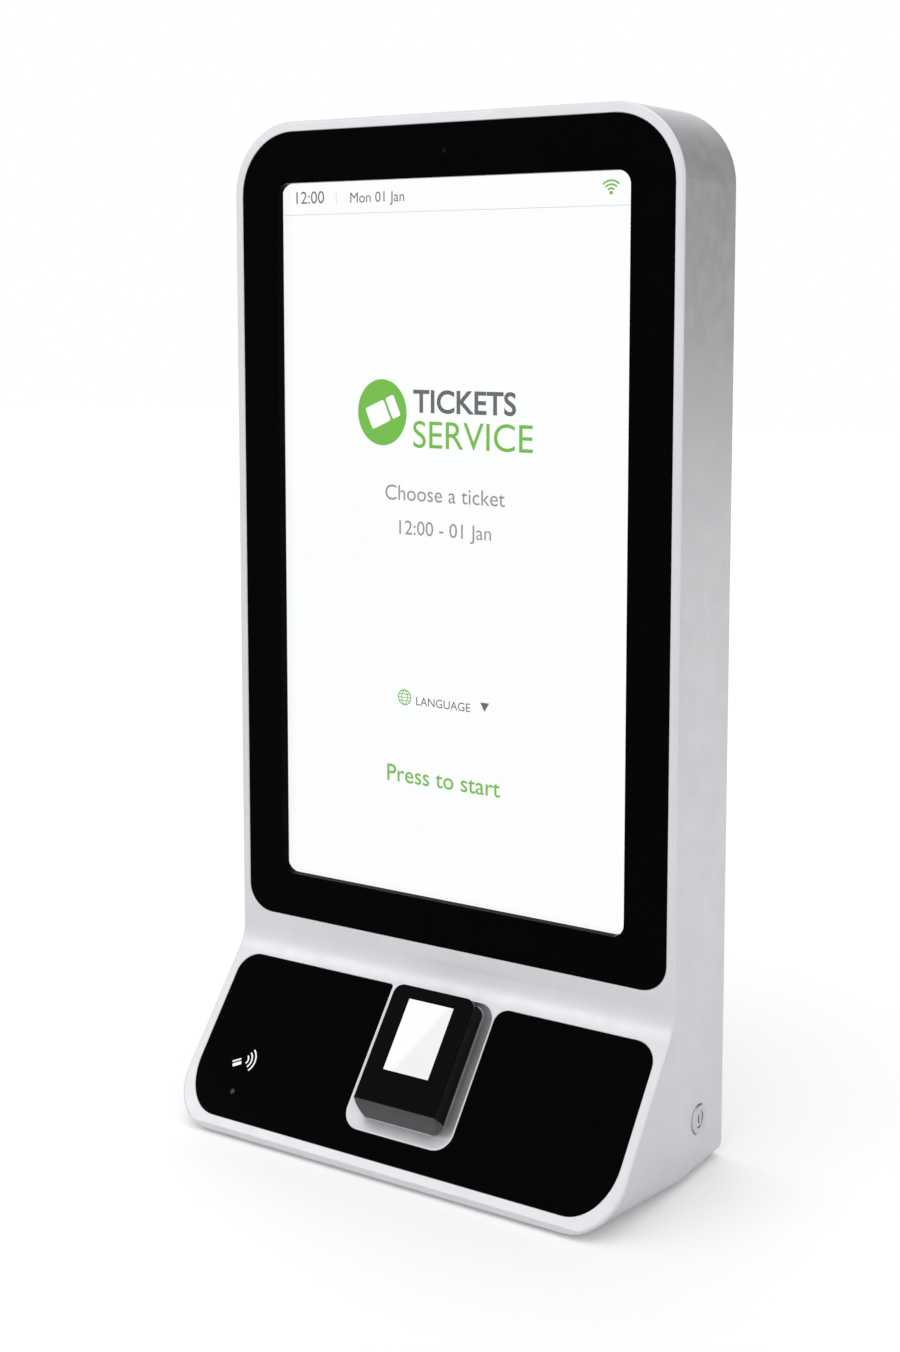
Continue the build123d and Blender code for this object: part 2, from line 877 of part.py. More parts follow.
def make_console_boards():
    with BuildPart() as antenna_board:
        with BuildSketch(slope_plane.offset(-console_thickness)):
            with Locations(antenna_centre):
                RectangleRounded(60, 42, 3)
        extrude(amount=-1.6)
    save(antenna_board, "antenna_board")

    with BuildPart() as status_led:
        with BuildSketch(slope_plane.offset(-0.4)):
            with Locations(led_place):
                Circle(led_radius)
        extrude(amount=0.4 - console_thickness)
        with BuildSketch(slope_plane.offset(-console_thickness)):
            with Locations(led_place):
                Circle(2.8)
        extrude(amount=-3)
    save(status_led, "status_led")


# ---- card reader ----------------------------------------------------------------------------------

gasket_height = 0.4
reader_foot_h = gasket_height - dish_depth
display_depth = 0.9


def make_reader_housing():
    bevel = reader_foot_t - reader_face_end_t
    rise = reader_height - reader_foot_h
    with BuildPart() as reader_housing:
        with BuildSketch(slope_plane.offset(reader_foot_h)):
            reader_outline(0)
        extrude(amount=rise)
        # the long bevel facing the user
        with BuildSketch(bevel_plane(reader_right_u + 1)):
            with BuildLine():
                Polyline(
                    (-reader_foot_t, reader_foot_h),
                    (-reader_face_end_t + bevel / rise, reader_height + 1),
                    (-reader_foot_t - 5, reader_height + 1),
                    (-reader_foot_t - 5, reader_foot_h),
                    close=True,
                )
            make_face()
        extrude(amount=-(reader_right_u - reader_left_u + 2), mode=Mode.SUBTRACT)
        top = reader_housing.faces().sort_by(slope_plane_axis())[-1]
        fillet(top.edges(), 0.9)
        # hollow from below, with four posts for the screws
        with BuildSketch(slope_plane.offset(reader_foot_h)):
            with Locations((reader_mid_u, -(reader_top_t + 90) / 2)):
                RectangleRounded(
                    reader_right_u - reader_left_u - 2 * reader_skin,
                    90 - reader_top_t - 2 * reader_skin,
                    reader_corner - reader_skin,
                )
        extrude(amount=rise - reader_skin, mode=Mode.SUBTRACT)
        with BuildSketch(slope_plane.offset(reader_foot_h)):
            with Locations(*reader_screw_places):
                Circle(3.2)
        extrude(amount=rise - reader_skin - 1)
        with BuildSketch(slope_plane.offset(reader_foot_h)):
            with Locations(*reader_screw_places):
                Circle(1.3)
        extrude(amount=6, mode=Mode.SUBTRACT)
        # pocket for the display
        with BuildSketch(slope_plane.offset(reader_height)):
            display_outline(0)
        extrude(amount=-display_depth, mode=Mode.SUBTRACT)
    save(reader_housing, "reader_housing")


def slope_plane_axis():
    # The console's outward direction as an axis for sorting faces
    return Axis(slope_plane.origin, slope_plane.z_dir)


def bevel_plane(u):
    # A plane facing +X whose sketch reads as distance up the slope and height above it
    origin = slope_plane.from_local_coords((u, 0, 0))
    return Plane(origin=origin, x_dir=slope_plane.y_dir, z_dir=(1, 0, 0))


def display_outline(inset):
    # The small display on the reader
    mid_u = (display_left_u + display_right_u) / 2
    with Locations((mid_u, -(display_top_t + display_bottom_t) / 2)):
        Rectangle(
            display_right_u - display_left_u - 2 * inset,
            display_bottom_t - display_top_t - 2 * inset,
        )


def make_reader_inner_parts():
    with BuildPart() as reader_display:
        with BuildSketch(slope_plane.offset(reader_height - display_depth)):
            display_outline(0.05)
        extrude(amount=display_depth - 0.05)
    save(reader_display, "reader_display")

    with BuildPart() as reader_gasket:
        with BuildSketch(slope_plane.offset(-dish_depth)):
            reader_outline(1.0)
        extrude(amount=gasket_height)
        with BuildSketch(slope_plane.offset(-dish_depth)):
            core_outline(0.6)
            with Locations(*reader_screw_places):
                Circle(1.3)
        extrude(amount=gasket_height, mode=Mode.SUBTRACT)
    save(reader_gasket, "reader_gasket")

    with BuildPart() as reader_core:
        with BuildSketch(slope_plane.offset(reader_height - reader_skin - 1)):
            core_outline(0)
        extrude(amount=-(reader_height - reader_skin - 1 + dish_depth + wall + core_depth))
    save(reader_core, "reader_core")
    make_screws(
        "reader_screws",
        slope_plane.offset(-dish_depth - wall),
        reader_screw_places,
        -1,
        (1.3, 8.5),
        (2.6, 1.6),
    )


# ---- connector plate ------------------------------------------------------------------------------

plate_back_y = plate_y + plate_thickness
socket_floor_y = 60.0
rocker_pivot_y = 73.5
rocker_tilt = 8.0
axle_radius = 1.0


def make_connector_plate():
    floor = base_z + wall
    with BuildPart() as connector_plate:
        with BuildSketch(front_plane(plate_y)):
            with Locations((0, (floor + plate_top_z) / 2)):
                Rectangle(2 * plate_half, plate_top_z - floor)
            with Locations((inlet_x, connector_z)):
                Rectangle(27, 20, mode=Mode.SUBTRACT)
            with Locations((switch_x, connector_z)):
                Rectangle(15.4, 21, mode=Mode.SUBTRACT)
            with Locations((grommet_x, connector_z)):
                Circle(6, mode=Mode.SUBTRACT)
        extrude(amount=-plate_thickness)
        with BuildSketch(Plane.XY.offset(floor)):
            with Locations((0, 64)):
                Rectangle(2 * plate_half, 24)
            with Locations(*plate_screw_places):
                Circle(1.6, mode=Mode.SUBTRACT)
        extrude(amount=2)
    save(connector_plate, "connector_plate")
    make_screws(
        "plate_screws", Plane.XY.offset(floor + 2), plate_screw_places, 1, (1.6, 4.0), (3.0, 1.6)
    )


def make_power_inlet():
    with BuildPart() as power_inlet:
        with BuildSketch(front_plane(plate_back_y)):
            with Locations((inlet_x, connector_z)):
                RectangleRounded(30, 24, 2)
        extrude(amount=-1.4)
        with BuildSketch(front_plane(plate_back_y)):
            with Locations((inlet_x, connector_z)):
                Rectangle(27, 20)
        extrude(amount=plate_back_y - 52)
        with BuildSketch(front_plane(socket_floor_y)):
            with Locations((inlet_x, connector_z)):
                Rectangle(24, 16.4)
            fillet(vertices().group_by(Axis.Y)[-1], 4)
        extrude(amount=-20, mode=Mode.SUBTRACT)
    save(power_inlet, "power_inlet")

    with BuildPart() as inlet_pins:
        with BuildSketch(front_plane(socket_floor_y)):
            with Locations(
                (inlet_x - 7, connector_z - 2),
                (inlet_x, connector_z + 2),
                (inlet_x + 7, connector_z - 2),
            ):
                Rectangle(2, 4)
        extrude(amount=-12.4)
    save(inlet_pins, "inlet_pins")


def make_switch():
    with BuildPart() as switch_frame:
        with BuildSketch(front_plane(plate_back_y)):
            with Locations((switch_x, connector_z)):
                RectangleRounded(18, 24, 1.5)
        extrude(amount=-1.2)
        with BuildSketch(front_plane(plate_back_y)):
            with Locations((switch_x, connector_z)):
                Rectangle(15.4, 21)
        extrude(amount=plate_back_y - 62)
        with BuildSketch(front_plane(64)):
            with Locations((switch_x, connector_z)):
                Rectangle(12.8, 18)
        extrude(amount=-20, mode=Mode.SUBTRACT)
        with BuildSketch(side_plane(switch_x)):
            with Locations((rocker_pivot_y, connector_z)):
                Circle(axle_radius + 0.05)
        extrude(amount=7.3, both=True, mode=Mode.SUBTRACT)
    save(switch_frame, "switch_frame")

    tilted = Plane(
        origin=(switch_x, rocker_pivot_y, connector_z),
        x_dir=(0, cos(radians(rocker_tilt)), sin(radians(rocker_tilt))),
        z_dir=(1, 0, 0),
    )
    with BuildPart() as rocker_button:
        with BuildSketch(tilted):
            with BuildLine():
                Polyline(
                    (-4.0, -3.0), (-4.0, 3.0), (2.6, 8.2), (1.7, 0.0), (2.6, -8.2), close=True
                )
            make_face()
        extrude(amount=6.1, both=True)
        with BuildSketch(tilted):
            Circle(axle_radius)
        extrude(amount=7.1, both=True)
    save(rocker_button, "rocker_button")


def make_cable_grommet():
    with BuildPart() as cable_grommet:
        for start, length, radius in ((plate_y - 2, 2, 8), (plate_y, 2, 5.9), (plate_back_y, 1.5, 8)):
            with BuildSketch(front_plane(start)):
                with Locations((grommet_x, connector_z)):
                    Circle(radius)
            extrude(amount=-length)
        with BuildSketch(front_plane(plate_y - 3)):
            with Locations((grommet_x, connector_z)):
                Circle(grommet_bore_radius)
        extrude(amount=-10, mode=Mode.SUBTRACT)
    save(cable_grommet, "cable_grommet")


# ---- rear cover and hinges --------------------------------------------------------------------------

leaf_x = (10.5, 19.5)
strike_x = 136.0
strike_z = (50.0, 65.0)
strike_lip_y = lock_y - cam_half_width - 0.5 - leaf_thickness
strike_rivets = [(130.0, 54.0), (130.0, 61.0)]
stop_places = [(-80.0, 7.5), (80.0, 7.5), (-80.0, 671.5), (80.0, 671.5)]
stop_levels = (220.0, 480.0)


def cover_leaf_places():
    # Screws of the moving leaves, as x and z
    return [
        (hinge_x + dx, level + rise)
        for level in hinge_levels.values()
        for dx in leaf_x
        for rise in (-leaf_screw_rise, leaf_screw_rise)
    ]


def make_rear_cover():
    with BuildPart() as hollow:
        with BuildSketch(front_plane(cover_inner_y)):
            cover_outline(cover_skin)
        extrude(amount=cover_depth + 5)
        rear_edges = hollow.faces().sort_by(Axis.Y)[-1].edges()
        fillet(rear_edges, cover_edge_radius - cover_skin)

    with BuildPart() as rear_cover:
        with BuildSketch(front_plane(cover_rear_y)):
            cover_outline(0)
        extrude(amount=cover_depth)
        rear_edges = rear_cover.faces().sort_by(Axis.Y)[-1].edges()
        fillet(rear_edges, cover_edge_radius)
        add(hollow.part, mode=Mode.SUBTRACT)
        # cut-outs: connector plate, hinge knuckles, vents, holes
        with BuildSketch(front_plane(cover_rear_y + 1)):
            Rectangle(2 * (plate_half + 2), 2 * (plate_top_z + 3))
            for level in hinge_levels.values():
                with Locations((hinge_x - 4, level)):
                    Rectangle(17, hinge_length + 4)
            with Locations((fan_centre[0], fan_centre[1])):
                with GridLocations(34, 7, 2, 8):
                    SlotOverall(28, 3.2)
            with Locations((0, 110)):
                with GridLocations(46, 7, 5, 4):
                    SlotOverall(36, 3.2)
            with Locations((0, vesa_level)):
                with GridLocations(vesa_pitch, vesa_pitch, 2, 2):
                    Circle(vesa_hole_radius)
            with Locations(*cover_leaf_places(), *strike_rivets):
                Circle(1.25)
        extrude(amount=cover_depth + 5, mode=Mode.SUBTRACT)
    save(rear_cover, "rear_cover")


def make_cover_stops():
    with BuildPart() as cover_stops:
        with BuildSketch(front_plane(cover_front_y - 0.2)):
            with Locations(*stop_places):
                Rectangle(12, 6)
            for level in stop_levels:
                with Locations((half_width - wall - 3, level)):
                    Rectangle(6, 12)
        extrude(amount=9)
    save(cover_stops, "cover_stops")


def make_hinges():
    end_segments = ((-20.0, -7.0), (7.0, 20.0))
    middle_segment = (-6.8, 6.8)
    wall_x = -(half_width - wall)
    leaf_edge_y = 38.0
    leaf_height = 34.0
    for place, level in hinge_levels.items():
        with BuildPart() as shell_leaf:
            with BuildSketch(Plane.XY.offset(level - hinge_length / 2)):
                with Locations((wall_x, leaf_edge_y)):
                    Rectangle(leaf_thickness, leaf_height, align=(Align.MIN, Align.MIN))
            extrude(amount=hinge_length)
            for low, high in end_segments:
                with BuildSketch(Plane.XY.offset(level + low)):
                    with Locations((wall_x, leaf_edge_y)):
                        Rectangle(
                            leaf_thickness, hinge_y - leaf_edge_y, align=(Align.MIN, Align.MIN)
                        )
                    with Locations((hinge_x, hinge_y)):
                        Circle(knuckle_radius)
                extrude(amount=high - low)
            with BuildSketch(Plane.XY.offset(level - 30)):
                with Locations((hinge_x, hinge_y)):
                    Circle(hinge_pin_radius)
            extrude(amount=60, mode=Mode.SUBTRACT)
            with BuildSketch(side_plane(wall_x)):
                with Locations(*leaf_screw_places()):
                    Circle(1.5)
            extrude(amount=leaf_thickness, mode=Mode.SUBTRACT)
        save(shell_leaf, f"shell_leaf_{place}")

        leaf_y = cover_inner_y - leaf_thickness
        with BuildPart() as cover_leaf:
            with BuildSketch(Plane.XY.offset(level - hinge_length / 2)):
                with Locations((hinge_x + 3.4, leaf_y)):
                    Rectangle(22, leaf_thickness, align=(Align.MIN, Align.MIN))
            extrude(amount=hinge_length)
            with BuildSketch(Plane.XY.offset(level + middle_segment[0])):
                with Locations((hinge_x, leaf_y)):
                    Rectangle(5, leaf_thickness, align=(Align.MIN, Align.MIN))
                with Locations((hinge_x, hinge_y)):
                    Circle(knuckle_radius)
            extrude(amount=middle_segment[1] - middle_segment[0])
            with BuildSketch(Plane.XY.offset(level - 30)):
                with Locations((hinge_x, hinge_y)):
                    Circle(hinge_pin_radius + hinge_clearance)
            extrude(amount=60, mode=Mode.SUBTRACT)
            with BuildSketch(front_plane(cover_inner_y)):
                with Locations(*cover_leaf_places()):
                    Circle(1.25)
            extrude(amount=leaf_thickness, mode=Mode.SUBTRACT)
        save(cover_leaf, f"cover_leaf_{place}")

        with BuildPart() as hinge_pin:
            with BuildSketch(Plane.XY.offset(level - 20)):
                with Locations((hinge_x, hinge_y)):
                    Circle(hinge_pin_radius)
            extrude(amount=40)
            with BuildSketch(Plane.XY.offset(level + 20)):
                with Locations((hinge_x, hinge_y)):
                    Circle(2.2)
            extrude(amount=1.2)
        save(hinge_pin, f"hinge_pin_{place}")

    make_screws(
        "shell_leaf_screws",
        side_plane(wall_x + leaf_thickness),
        leaf_screw_places(),
        1,
        (1.5, leaf_thickness + 1.8),
        (2.8, 1.2),
    )
    make_screws(
        "cover_leaf_screws",
        front_plane(cover_inner_y - leaf_thickness),
        cover_leaf_places(),
        1,
        (1.25, leaf_thickness + cover_skin),
        (2.5, 1.2),
    )


def make_strike_plate():
    with BuildPart() as strike_plate:
        with BuildSketch(Plane.XY.offset(strike_z[0])):
            with Locations((strike_x, strike_lip_y)):
                Rectangle(
                    leaf_thickness, cover_inner_y - strike_lip_y, align=(Align.MIN, Align.MIN)
                )
                Rectangle(16, leaf_thickness, align=(Align.MIN, Align.MIN))
            with Locations((strike_x + leaf_thickness, cover_inner_y)):
                Rectangle(14, leaf_thickness, align=(Align.MAX, Align.MAX))
        extrude(amount=strike_z[1] - strike_z[0])
        with BuildSketch(front_plane(cover_inner_y)):
            with Locations(*strike_rivets):
                Circle(1.25)
        extrude(amount=leaf_thickness, mode=Mode.SUBTRACT)
    save(strike_plate, "strike_plate")
    make_screws(
        "strike_rivets",
        front_plane(cover_inner_y - leaf_thickness),
        strike_rivets,
        1,
        (1.25, leaf_thickness + cover_skin),
        (2.4, 1.2),
    )


# ---- lock -----------------------------------------------------------------------------------------

cam_x = lock_inner_x - 0.4 - cam_thickness
neck_radius = 3.5


def make_lock():
    with BuildPart() as lock_body:
        with BuildSketch(side_plane(lock_inner_x)):
            with Locations((lock_y, lock_z)):
                Circle(lock_body_radius)
        extrude(amount=lock_length)
        with BuildSketch(side_plane(lock_seat_x)):
            with Locations((lock_y, lock_z)):
                Circle(lock_head_radius)
        extrude(amount=half_width + lock_head_height - lock_seat_x)
        rim = lock_body.faces().sort_by(Axis.X)[-1].edges()
        fillet(rim, 0.8)
        with BuildSketch(side_plane(lock_inner_x - 1)):
            with Locations((lock_y, lock_z)):
                Circle(plug_radius + plug_clearance)
        extrude(amount=lock_length + 10, mode=Mode.SUBTRACT)
    save(lock_body, "lock_body")

    with BuildPart() as lock_nut:
        with BuildSketch(side_plane(lock_nut_x - 3)):
            with Locations((lock_y, lock_z)):
                RegularPolygon(11, 6)
                Circle(lock_body_radius, mode=Mode.SUBTRACT)
        extrude(amount=3)
    save(lock_nut, "lock_nut")

    with BuildPart() as lock_cylinder:
        with BuildSketch(side_plane(lock_inner_x)):
            with Locations((lock_y, lock_z)):
                Circle(plug_radius)
        extrude(amount=lock_length + lock_head_height - 0.6)
        with BuildSketch(side_plane(cam_x)):
            with Locations((lock_y, lock_z)):
                Circle(neck_radius)
        extrude(amount=lock_inner_x - cam_x)
        with BuildSketch(side_plane(half_width + lock_head_height)):
            with Locations((lock_y, lock_z)):
                Rectangle(1.4, 5.6)
        extrude(amount=-12, mode=Mode.SUBTRACT)
        with BuildSketch(side_plane(cam_x)):
            with Locations((lock_y, lock_z)):
                Circle(1.5)
        extrude(amount=5, mode=Mode.SUBTRACT)
    save(lock_cylinder, "lock_cylinder")

    with BuildPart() as lock_cam:
        with BuildSketch(side_plane(cam_x)):
            with Locations((lock_y - cam_half_width, lock_z)):
                SlotOverall(
                    cam_length + cam_half_width,
                    2 * cam_half_width,
                    align=(Align.MIN, Align.CENTER),
                )
            with Locations((lock_y, lock_z)):
                Circle(neck_radius, mode=Mode.SUBTRACT)
        extrude(amount=cam_thickness)
    save(lock_cam, "lock_cam")
    make_screws(
        "cam_screw", side_plane(cam_x), [(lock_y, lock_z)], -1, (1.5, 5.0), (4.5, 1.8)
    )


# ---- inner wiring ---------------------------------------------------------------------------------


def make_leads():
    core_back = -(dish_depth + wall + core_depth)
    start = slope_plane.from_local_coords((reader_mid_u, -54, core_back))
    turn = slope_plane.from_local_coords((reader_mid_u, -54, core_back - 14))
    make_lead(
        "reader_cable",
        [
            start,
            turn,
            (60, 24, 34),
            (118, 44, 60),
            (118, 52, 150),
            (118, 52, 400),
            (107, 49, 430),
            (107, 49, 459.9),
        ],
        9,
        2.0,
    )
    make_lead(
        "power_lead",
        [(inlet_x, 52, connector_z), (inlet_x, 40, connector_z), (-20, 49, 110), (-20, 49, 239.9)],
        9,
        2.6,
    )
    make_lead("display_cable", [(131, 48, 500), (143, 48, 500), (143, panel_rear_y, 500)], 6, 1.6)


make_front_shell()
make_rubber_feet()
make_bezel_frame()
make_touch_glass()
make_lcd_panel()
make_display_straps()
make_camera_module()
make_chassis_plate()
make_mainboard()
make_heat_sink()
make_fan()
make_power_supply()
make_console_panel()
make_console_boards()
make_reader_housing()
make_reader_inner_parts()
make_connector_plate()
make_power_inlet()
make_switch()
make_cable_grommet()
make_rear_cover()
make_cover_stops()
make_hinges()
make_strike_plate()
make_lock()
make_leads()
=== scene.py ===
import json
import math
import random

import bmesh
import bpy
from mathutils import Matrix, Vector

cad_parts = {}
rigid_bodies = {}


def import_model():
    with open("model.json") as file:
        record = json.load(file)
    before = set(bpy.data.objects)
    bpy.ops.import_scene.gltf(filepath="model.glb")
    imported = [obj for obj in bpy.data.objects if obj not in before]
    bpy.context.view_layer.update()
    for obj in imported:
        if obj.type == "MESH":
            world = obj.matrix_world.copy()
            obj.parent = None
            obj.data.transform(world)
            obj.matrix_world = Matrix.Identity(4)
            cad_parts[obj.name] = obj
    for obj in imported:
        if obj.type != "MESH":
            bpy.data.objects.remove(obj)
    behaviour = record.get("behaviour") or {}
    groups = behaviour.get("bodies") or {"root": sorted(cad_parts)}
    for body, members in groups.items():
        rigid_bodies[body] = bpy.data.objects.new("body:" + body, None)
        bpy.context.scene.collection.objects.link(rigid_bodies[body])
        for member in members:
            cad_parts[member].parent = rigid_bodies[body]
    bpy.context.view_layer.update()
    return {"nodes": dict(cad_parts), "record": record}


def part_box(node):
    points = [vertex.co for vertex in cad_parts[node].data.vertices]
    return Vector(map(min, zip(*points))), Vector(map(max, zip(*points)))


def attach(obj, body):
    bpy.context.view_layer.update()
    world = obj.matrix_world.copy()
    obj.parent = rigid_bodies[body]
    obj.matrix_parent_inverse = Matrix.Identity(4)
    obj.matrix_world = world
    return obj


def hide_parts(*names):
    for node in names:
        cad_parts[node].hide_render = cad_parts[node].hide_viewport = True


for startObject in list(bpy.data.objects):  # the start-up cube, lamp and camera
    bpy.data.objects.remove(startObject)
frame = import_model()
print("frame loaded:", len(frame["nodes"]), "nodes")

mm = 0.001
slopeAngle = math.radians(50.8)  # the console's tilt above the horizontal
across = Vector((1, 0, 0))
upSlope = Vector((0, math.cos(slopeAngle), math.sin(slopeAngle)))
offSlope = Vector((0, -math.sin(slopeAngle), math.cos(slopeAngle)))


def middleOf(node):
    low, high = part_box(node)
    return (low + high) / 2


# the reader's display: how far across, down the slope and above the console its middle lies
displayPlace = {"across": 5.05 * mm, "down": 45.85 * mm, "height": 11.525 * mm}
consoleOrigin = middleOf("reader_display") - offSlope * displayPlace["height"]
consoleOrigin += upSlope * displayPlace["down"] - across * displayPlace["across"]


def onConsole(u, down, height):
    return consoleOrigin + across * u - upSlope * down + offSlope * height


# materials: one recipe, a look for each finish

# how fine each pattern of the shared recipe is
recipe = {"mottleDetail": 4, "unevenDetail": 3, "unevenFiner": 3.3, "grainDetail": 2}

looks = {
    "silverPaint": dict(
        base=(0.60, 0.605, 0.622), metallic=0.75, roughness=0.40, roughnessSpread=0.05,
        grain=2600, grainHeight=0.012, mottle=26, mottleAmount=0.02,
    ),
    "blackPanel": dict(
        base=(0.0008, 0.0008, 0.0009), roughness=0.13, roughnessSpread=0.03, specular=0.012,
        grain=900, grainHeight=0.0006, mottle=60, mottleAmount=0.1,
    ),
    "darkLens": dict(
        base=(0.003, 0.003, 0.004), roughness=0.12, roughnessSpread=0.03, specular=0.05,
        grain=2000, grainHeight=0.0004, mottle=200, mottleAmount=0.05,
    ),
    "readerBlack": dict(
        base=(0.0012, 0.0012, 0.0014), roughness=0.10, roughnessSpread=0.03, specular=0.035,
        grain=1400, grainHeight=0.0012, mottle=80, mottleAmount=0.1,
    ),
    "lockChrome": dict(
        base=(0.50, 0.50, 0.51), metallic=1.0, roughness=0.13, roughnessSpread=0.06,
        grain=3000, grainHeight=0.004, mottle=200, mottleAmount=0.05,
    ),
    "platedSteel": dict(
        base=(0.52, 0.53, 0.54), metallic=1.0, roughness=0.36, roughnessSpread=0.12,
        grain=1100, grainHeight=0.006, mottle=90, mottleAmount=0.14,
    ),
    "turnedBrass": dict(
        base=(0.62, 0.44, 0.16), metallic=1.0, roughness=0.28, roughnessSpread=0.1,
        grain=2200, grainHeight=0.004, mottle=160, mottleAmount=0.1,
    ),
    "bareAluminium": dict(
        base=(0.62, 0.63, 0.64), metallic=1.0, roughness=0.38, roughnessSpread=0.1,
        grain=1500, grainHeight=0.006, mottle=70, mottleAmount=0.08,
    ),
    "rubber": dict(
        base=(0.012, 0.012, 0.012), roughness=0.78, roughnessSpread=0.08, specular=0.3,
        grain=1800, grainHeight=0.03, mottle=140, mottleAmount=0.2,
    ),
    "cableJacket": dict(
        base=(0.010, 0.010, 0.011), roughness=0.5, roughnessSpread=0.08, specular=0.4,
        grain=1200, grainHeight=0.01, mottle=120, mottleAmount=0.2,
    ),
    "mouldedBlack": dict(
        base=(0.014, 0.014, 0.015), roughness=0.52, roughnessSpread=0.08, specular=0.4,
        grain=2400, grainHeight=0.02, mottle=90, mottleAmount=0.15,
    ),
    "circuitGreen": dict(
        base=(0.012, 0.085, 0.035), roughness=0.34, roughnessSpread=0.08, specular=0.5,
        grain=420, grainHeight=0.01, mottle=260, mottleAmount=0.3,
    ),
    "displayBack": dict(
        base=(0.16, 0.165, 0.17), metallic=0.85, roughness=0.4, roughnessSpread=0.08,
        grain=900, grainHeight=0.006, mottle=50, mottleAmount=0.1,
    ),
    "ledLens": dict(
        base=(0.040, 0.040, 0.042), roughness=0.35, roughnessSpread=0.05, specular=0.2,
        grain=2600, grainHeight=0.004, mottle=300, mottleAmount=0.2,
    ),
}


def addNode(tree, kind, **settings):
    node = tree.nodes.new(kind)
    for key, value in settings.items():
        setattr(node, key, value)
    return node


def noiseInto(tree, coords, scale, detail):
    noise = addNode(tree, "ShaderNodeTexNoise")
    noise.inputs["Scale"].default_value = scale
    noise.inputs["Detail"].default_value = detail
    tree.links.new(coords.outputs["Object"], noise.inputs["Vector"])
    return noise.outputs["Fac"]


def remap(tree, source, low, high, fromLow=0.3, fromHigh=0.7):
    mapper = addNode(tree, "ShaderNodeMapRange")
    tree.links.new(source, mapper.inputs["Value"])
    mapper.inputs["From Min"].default_value = fromLow
    mapper.inputs["From Max"].default_value = fromHigh
    mapper.inputs["To Min"].default_value = low
    mapper.inputs["To Max"].default_value = high
    return mapper.outputs["Result"]


def makeFinish(name, look):
    material = bpy.data.materials.new(name)
    material.use_nodes = True
    tree = material.node_tree
    shader = tree.nodes["Principled BSDF"]
    coords = addNode(tree, "ShaderNodeTexCoord")
    shader.inputs["Metallic"].default_value = look.get("metallic", 0.0)
    shader.inputs["Specular IOR Level"].default_value = look.get("specular", 0.5)

    mix = addNode(tree, "ShaderNodeMix", data_type="RGBA")  # blotches in the colour
    spread = look["mottleAmount"]
    base = look["base"]
    mix.inputs["A"].default_value = (*[c * (1 - spread) for c in base], 1)
    mix.inputs["B"].default_value = (*[c * (1 + spread) for c in base], 1)
    blotches = noiseInto(tree, coords, look["mottle"], recipe["mottleDetail"])
    tree.links.new(remap(tree, blotches, 0, 1), mix.inputs["Factor"])
    tree.links.new(mix.outputs["Result"], shader.inputs["Base Color"])

    level, swing = look["roughness"], look["roughnessSpread"]
    uneven = noiseInto(tree, coords, look["mottle"] * recipe["unevenFiner"], recipe["unevenDetail"])
    tree.links.new(remap(tree, uneven, level - swing, level + swing), shader.inputs["Roughness"])

    bump = addNode(tree, "ShaderNodeBump")  # the fine grain of the surface
    bump.inputs["Strength"].default_value = 1.0
    bump.inputs["Distance"].default_value = look["grainHeight"] * mm
    grain = noiseInto(tree, coords, look["grain"], recipe["grainDetail"])
    tree.links.new(grain, bump.inputs["Height"])
    tree.links.new(bump.outputs["Normal"], shader.inputs["Normal"])
    return material


finishes = {name: makeFinish(name, look) for name, look in looks.items()}


def makeGlow(name, colour, strength):
    material = bpy.data.materials.new(name)
    material.use_nodes = True
    shader = material.node_tree.nodes["Principled BSDF"]
    shader.inputs["Base Color"].default_value = (0, 0, 0, 1)
    shader.inputs["Roughness"].default_value = 0.4
    shader.inputs["Specular IOR Level"].default_value = 0.0
    shader.inputs["Emission Color"].default_value = (*colour, 1)
    shader.inputs["Emission Strength"].default_value = strength
    return material


print("materials made:", len(finishes))

# building helpers


def finishPiece(obj, body, slot, *replacedNodes):
    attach(obj, body)
    if replacedNodes:
        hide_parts(*replacedNodes)


def pieceFrom(mesh, name, materials):
    obj = bpy.data.objects.new(name, mesh)
    bpy.context.scene.collection.objects.link(obj)
    for material in materials:
        obj.data.materials.append(material)
    return obj


def meshFromFlat(mesh, outline, place, index):
    # a flat face from points (a, b); place turns each into a point in space
    corners = [mesh.verts.new(place(a, b)) for a, b in outline]
    face = mesh.faces.new(corners)
    face.material_index = index
    return face


def roundedRectangle(centre, width, height, radius, steps=8):
    points = []
    cornerSigns = ((1, 1, 0), (-1, 1, 90), (-1, -1, 180), (1, -1, 270))
    for signA, signB, start in cornerSigns:
        a = centre[0] + signA * (width / 2 - radius)
        b = centre[1] + signB * (height / 2 - radius)
        for step in range(steps + 1):
            turn = math.radians(start + 90 * step / steps)
            points.append((a + radius * math.cos(turn), b + radius * math.sin(turn)))
    return points


def arcBand(centre, radius, width, start, end, steps=24):
    # a curved stroke, as one outline
    outer, inner = [], []
    for step in range(steps + 1):
        turn = math.radians(start + (end - start) * step / steps)
        direction = (math.cos(turn), math.sin(turn))
        outer.append((centre[0] + (radius + width / 2) * direction[0],
                      centre[1] + (radius + width / 2) * direction[1]))
        inner.append((centre[0] + (radius - width / 2) * direction[0],
                      centre[1] + (radius - width / 2) * direction[1]))
    return outer, inner


def addArc(mesh, centre, radius, width, start, end, place, index, steps=24):
    outer, inner = arcBand(centre, radius, width, start, end, steps)
    for step in range(steps):
        quad = (outer[step], outer[step + 1], inner[step + 1], inner[step])
        meshFromFlat(mesh, quad, place, index)


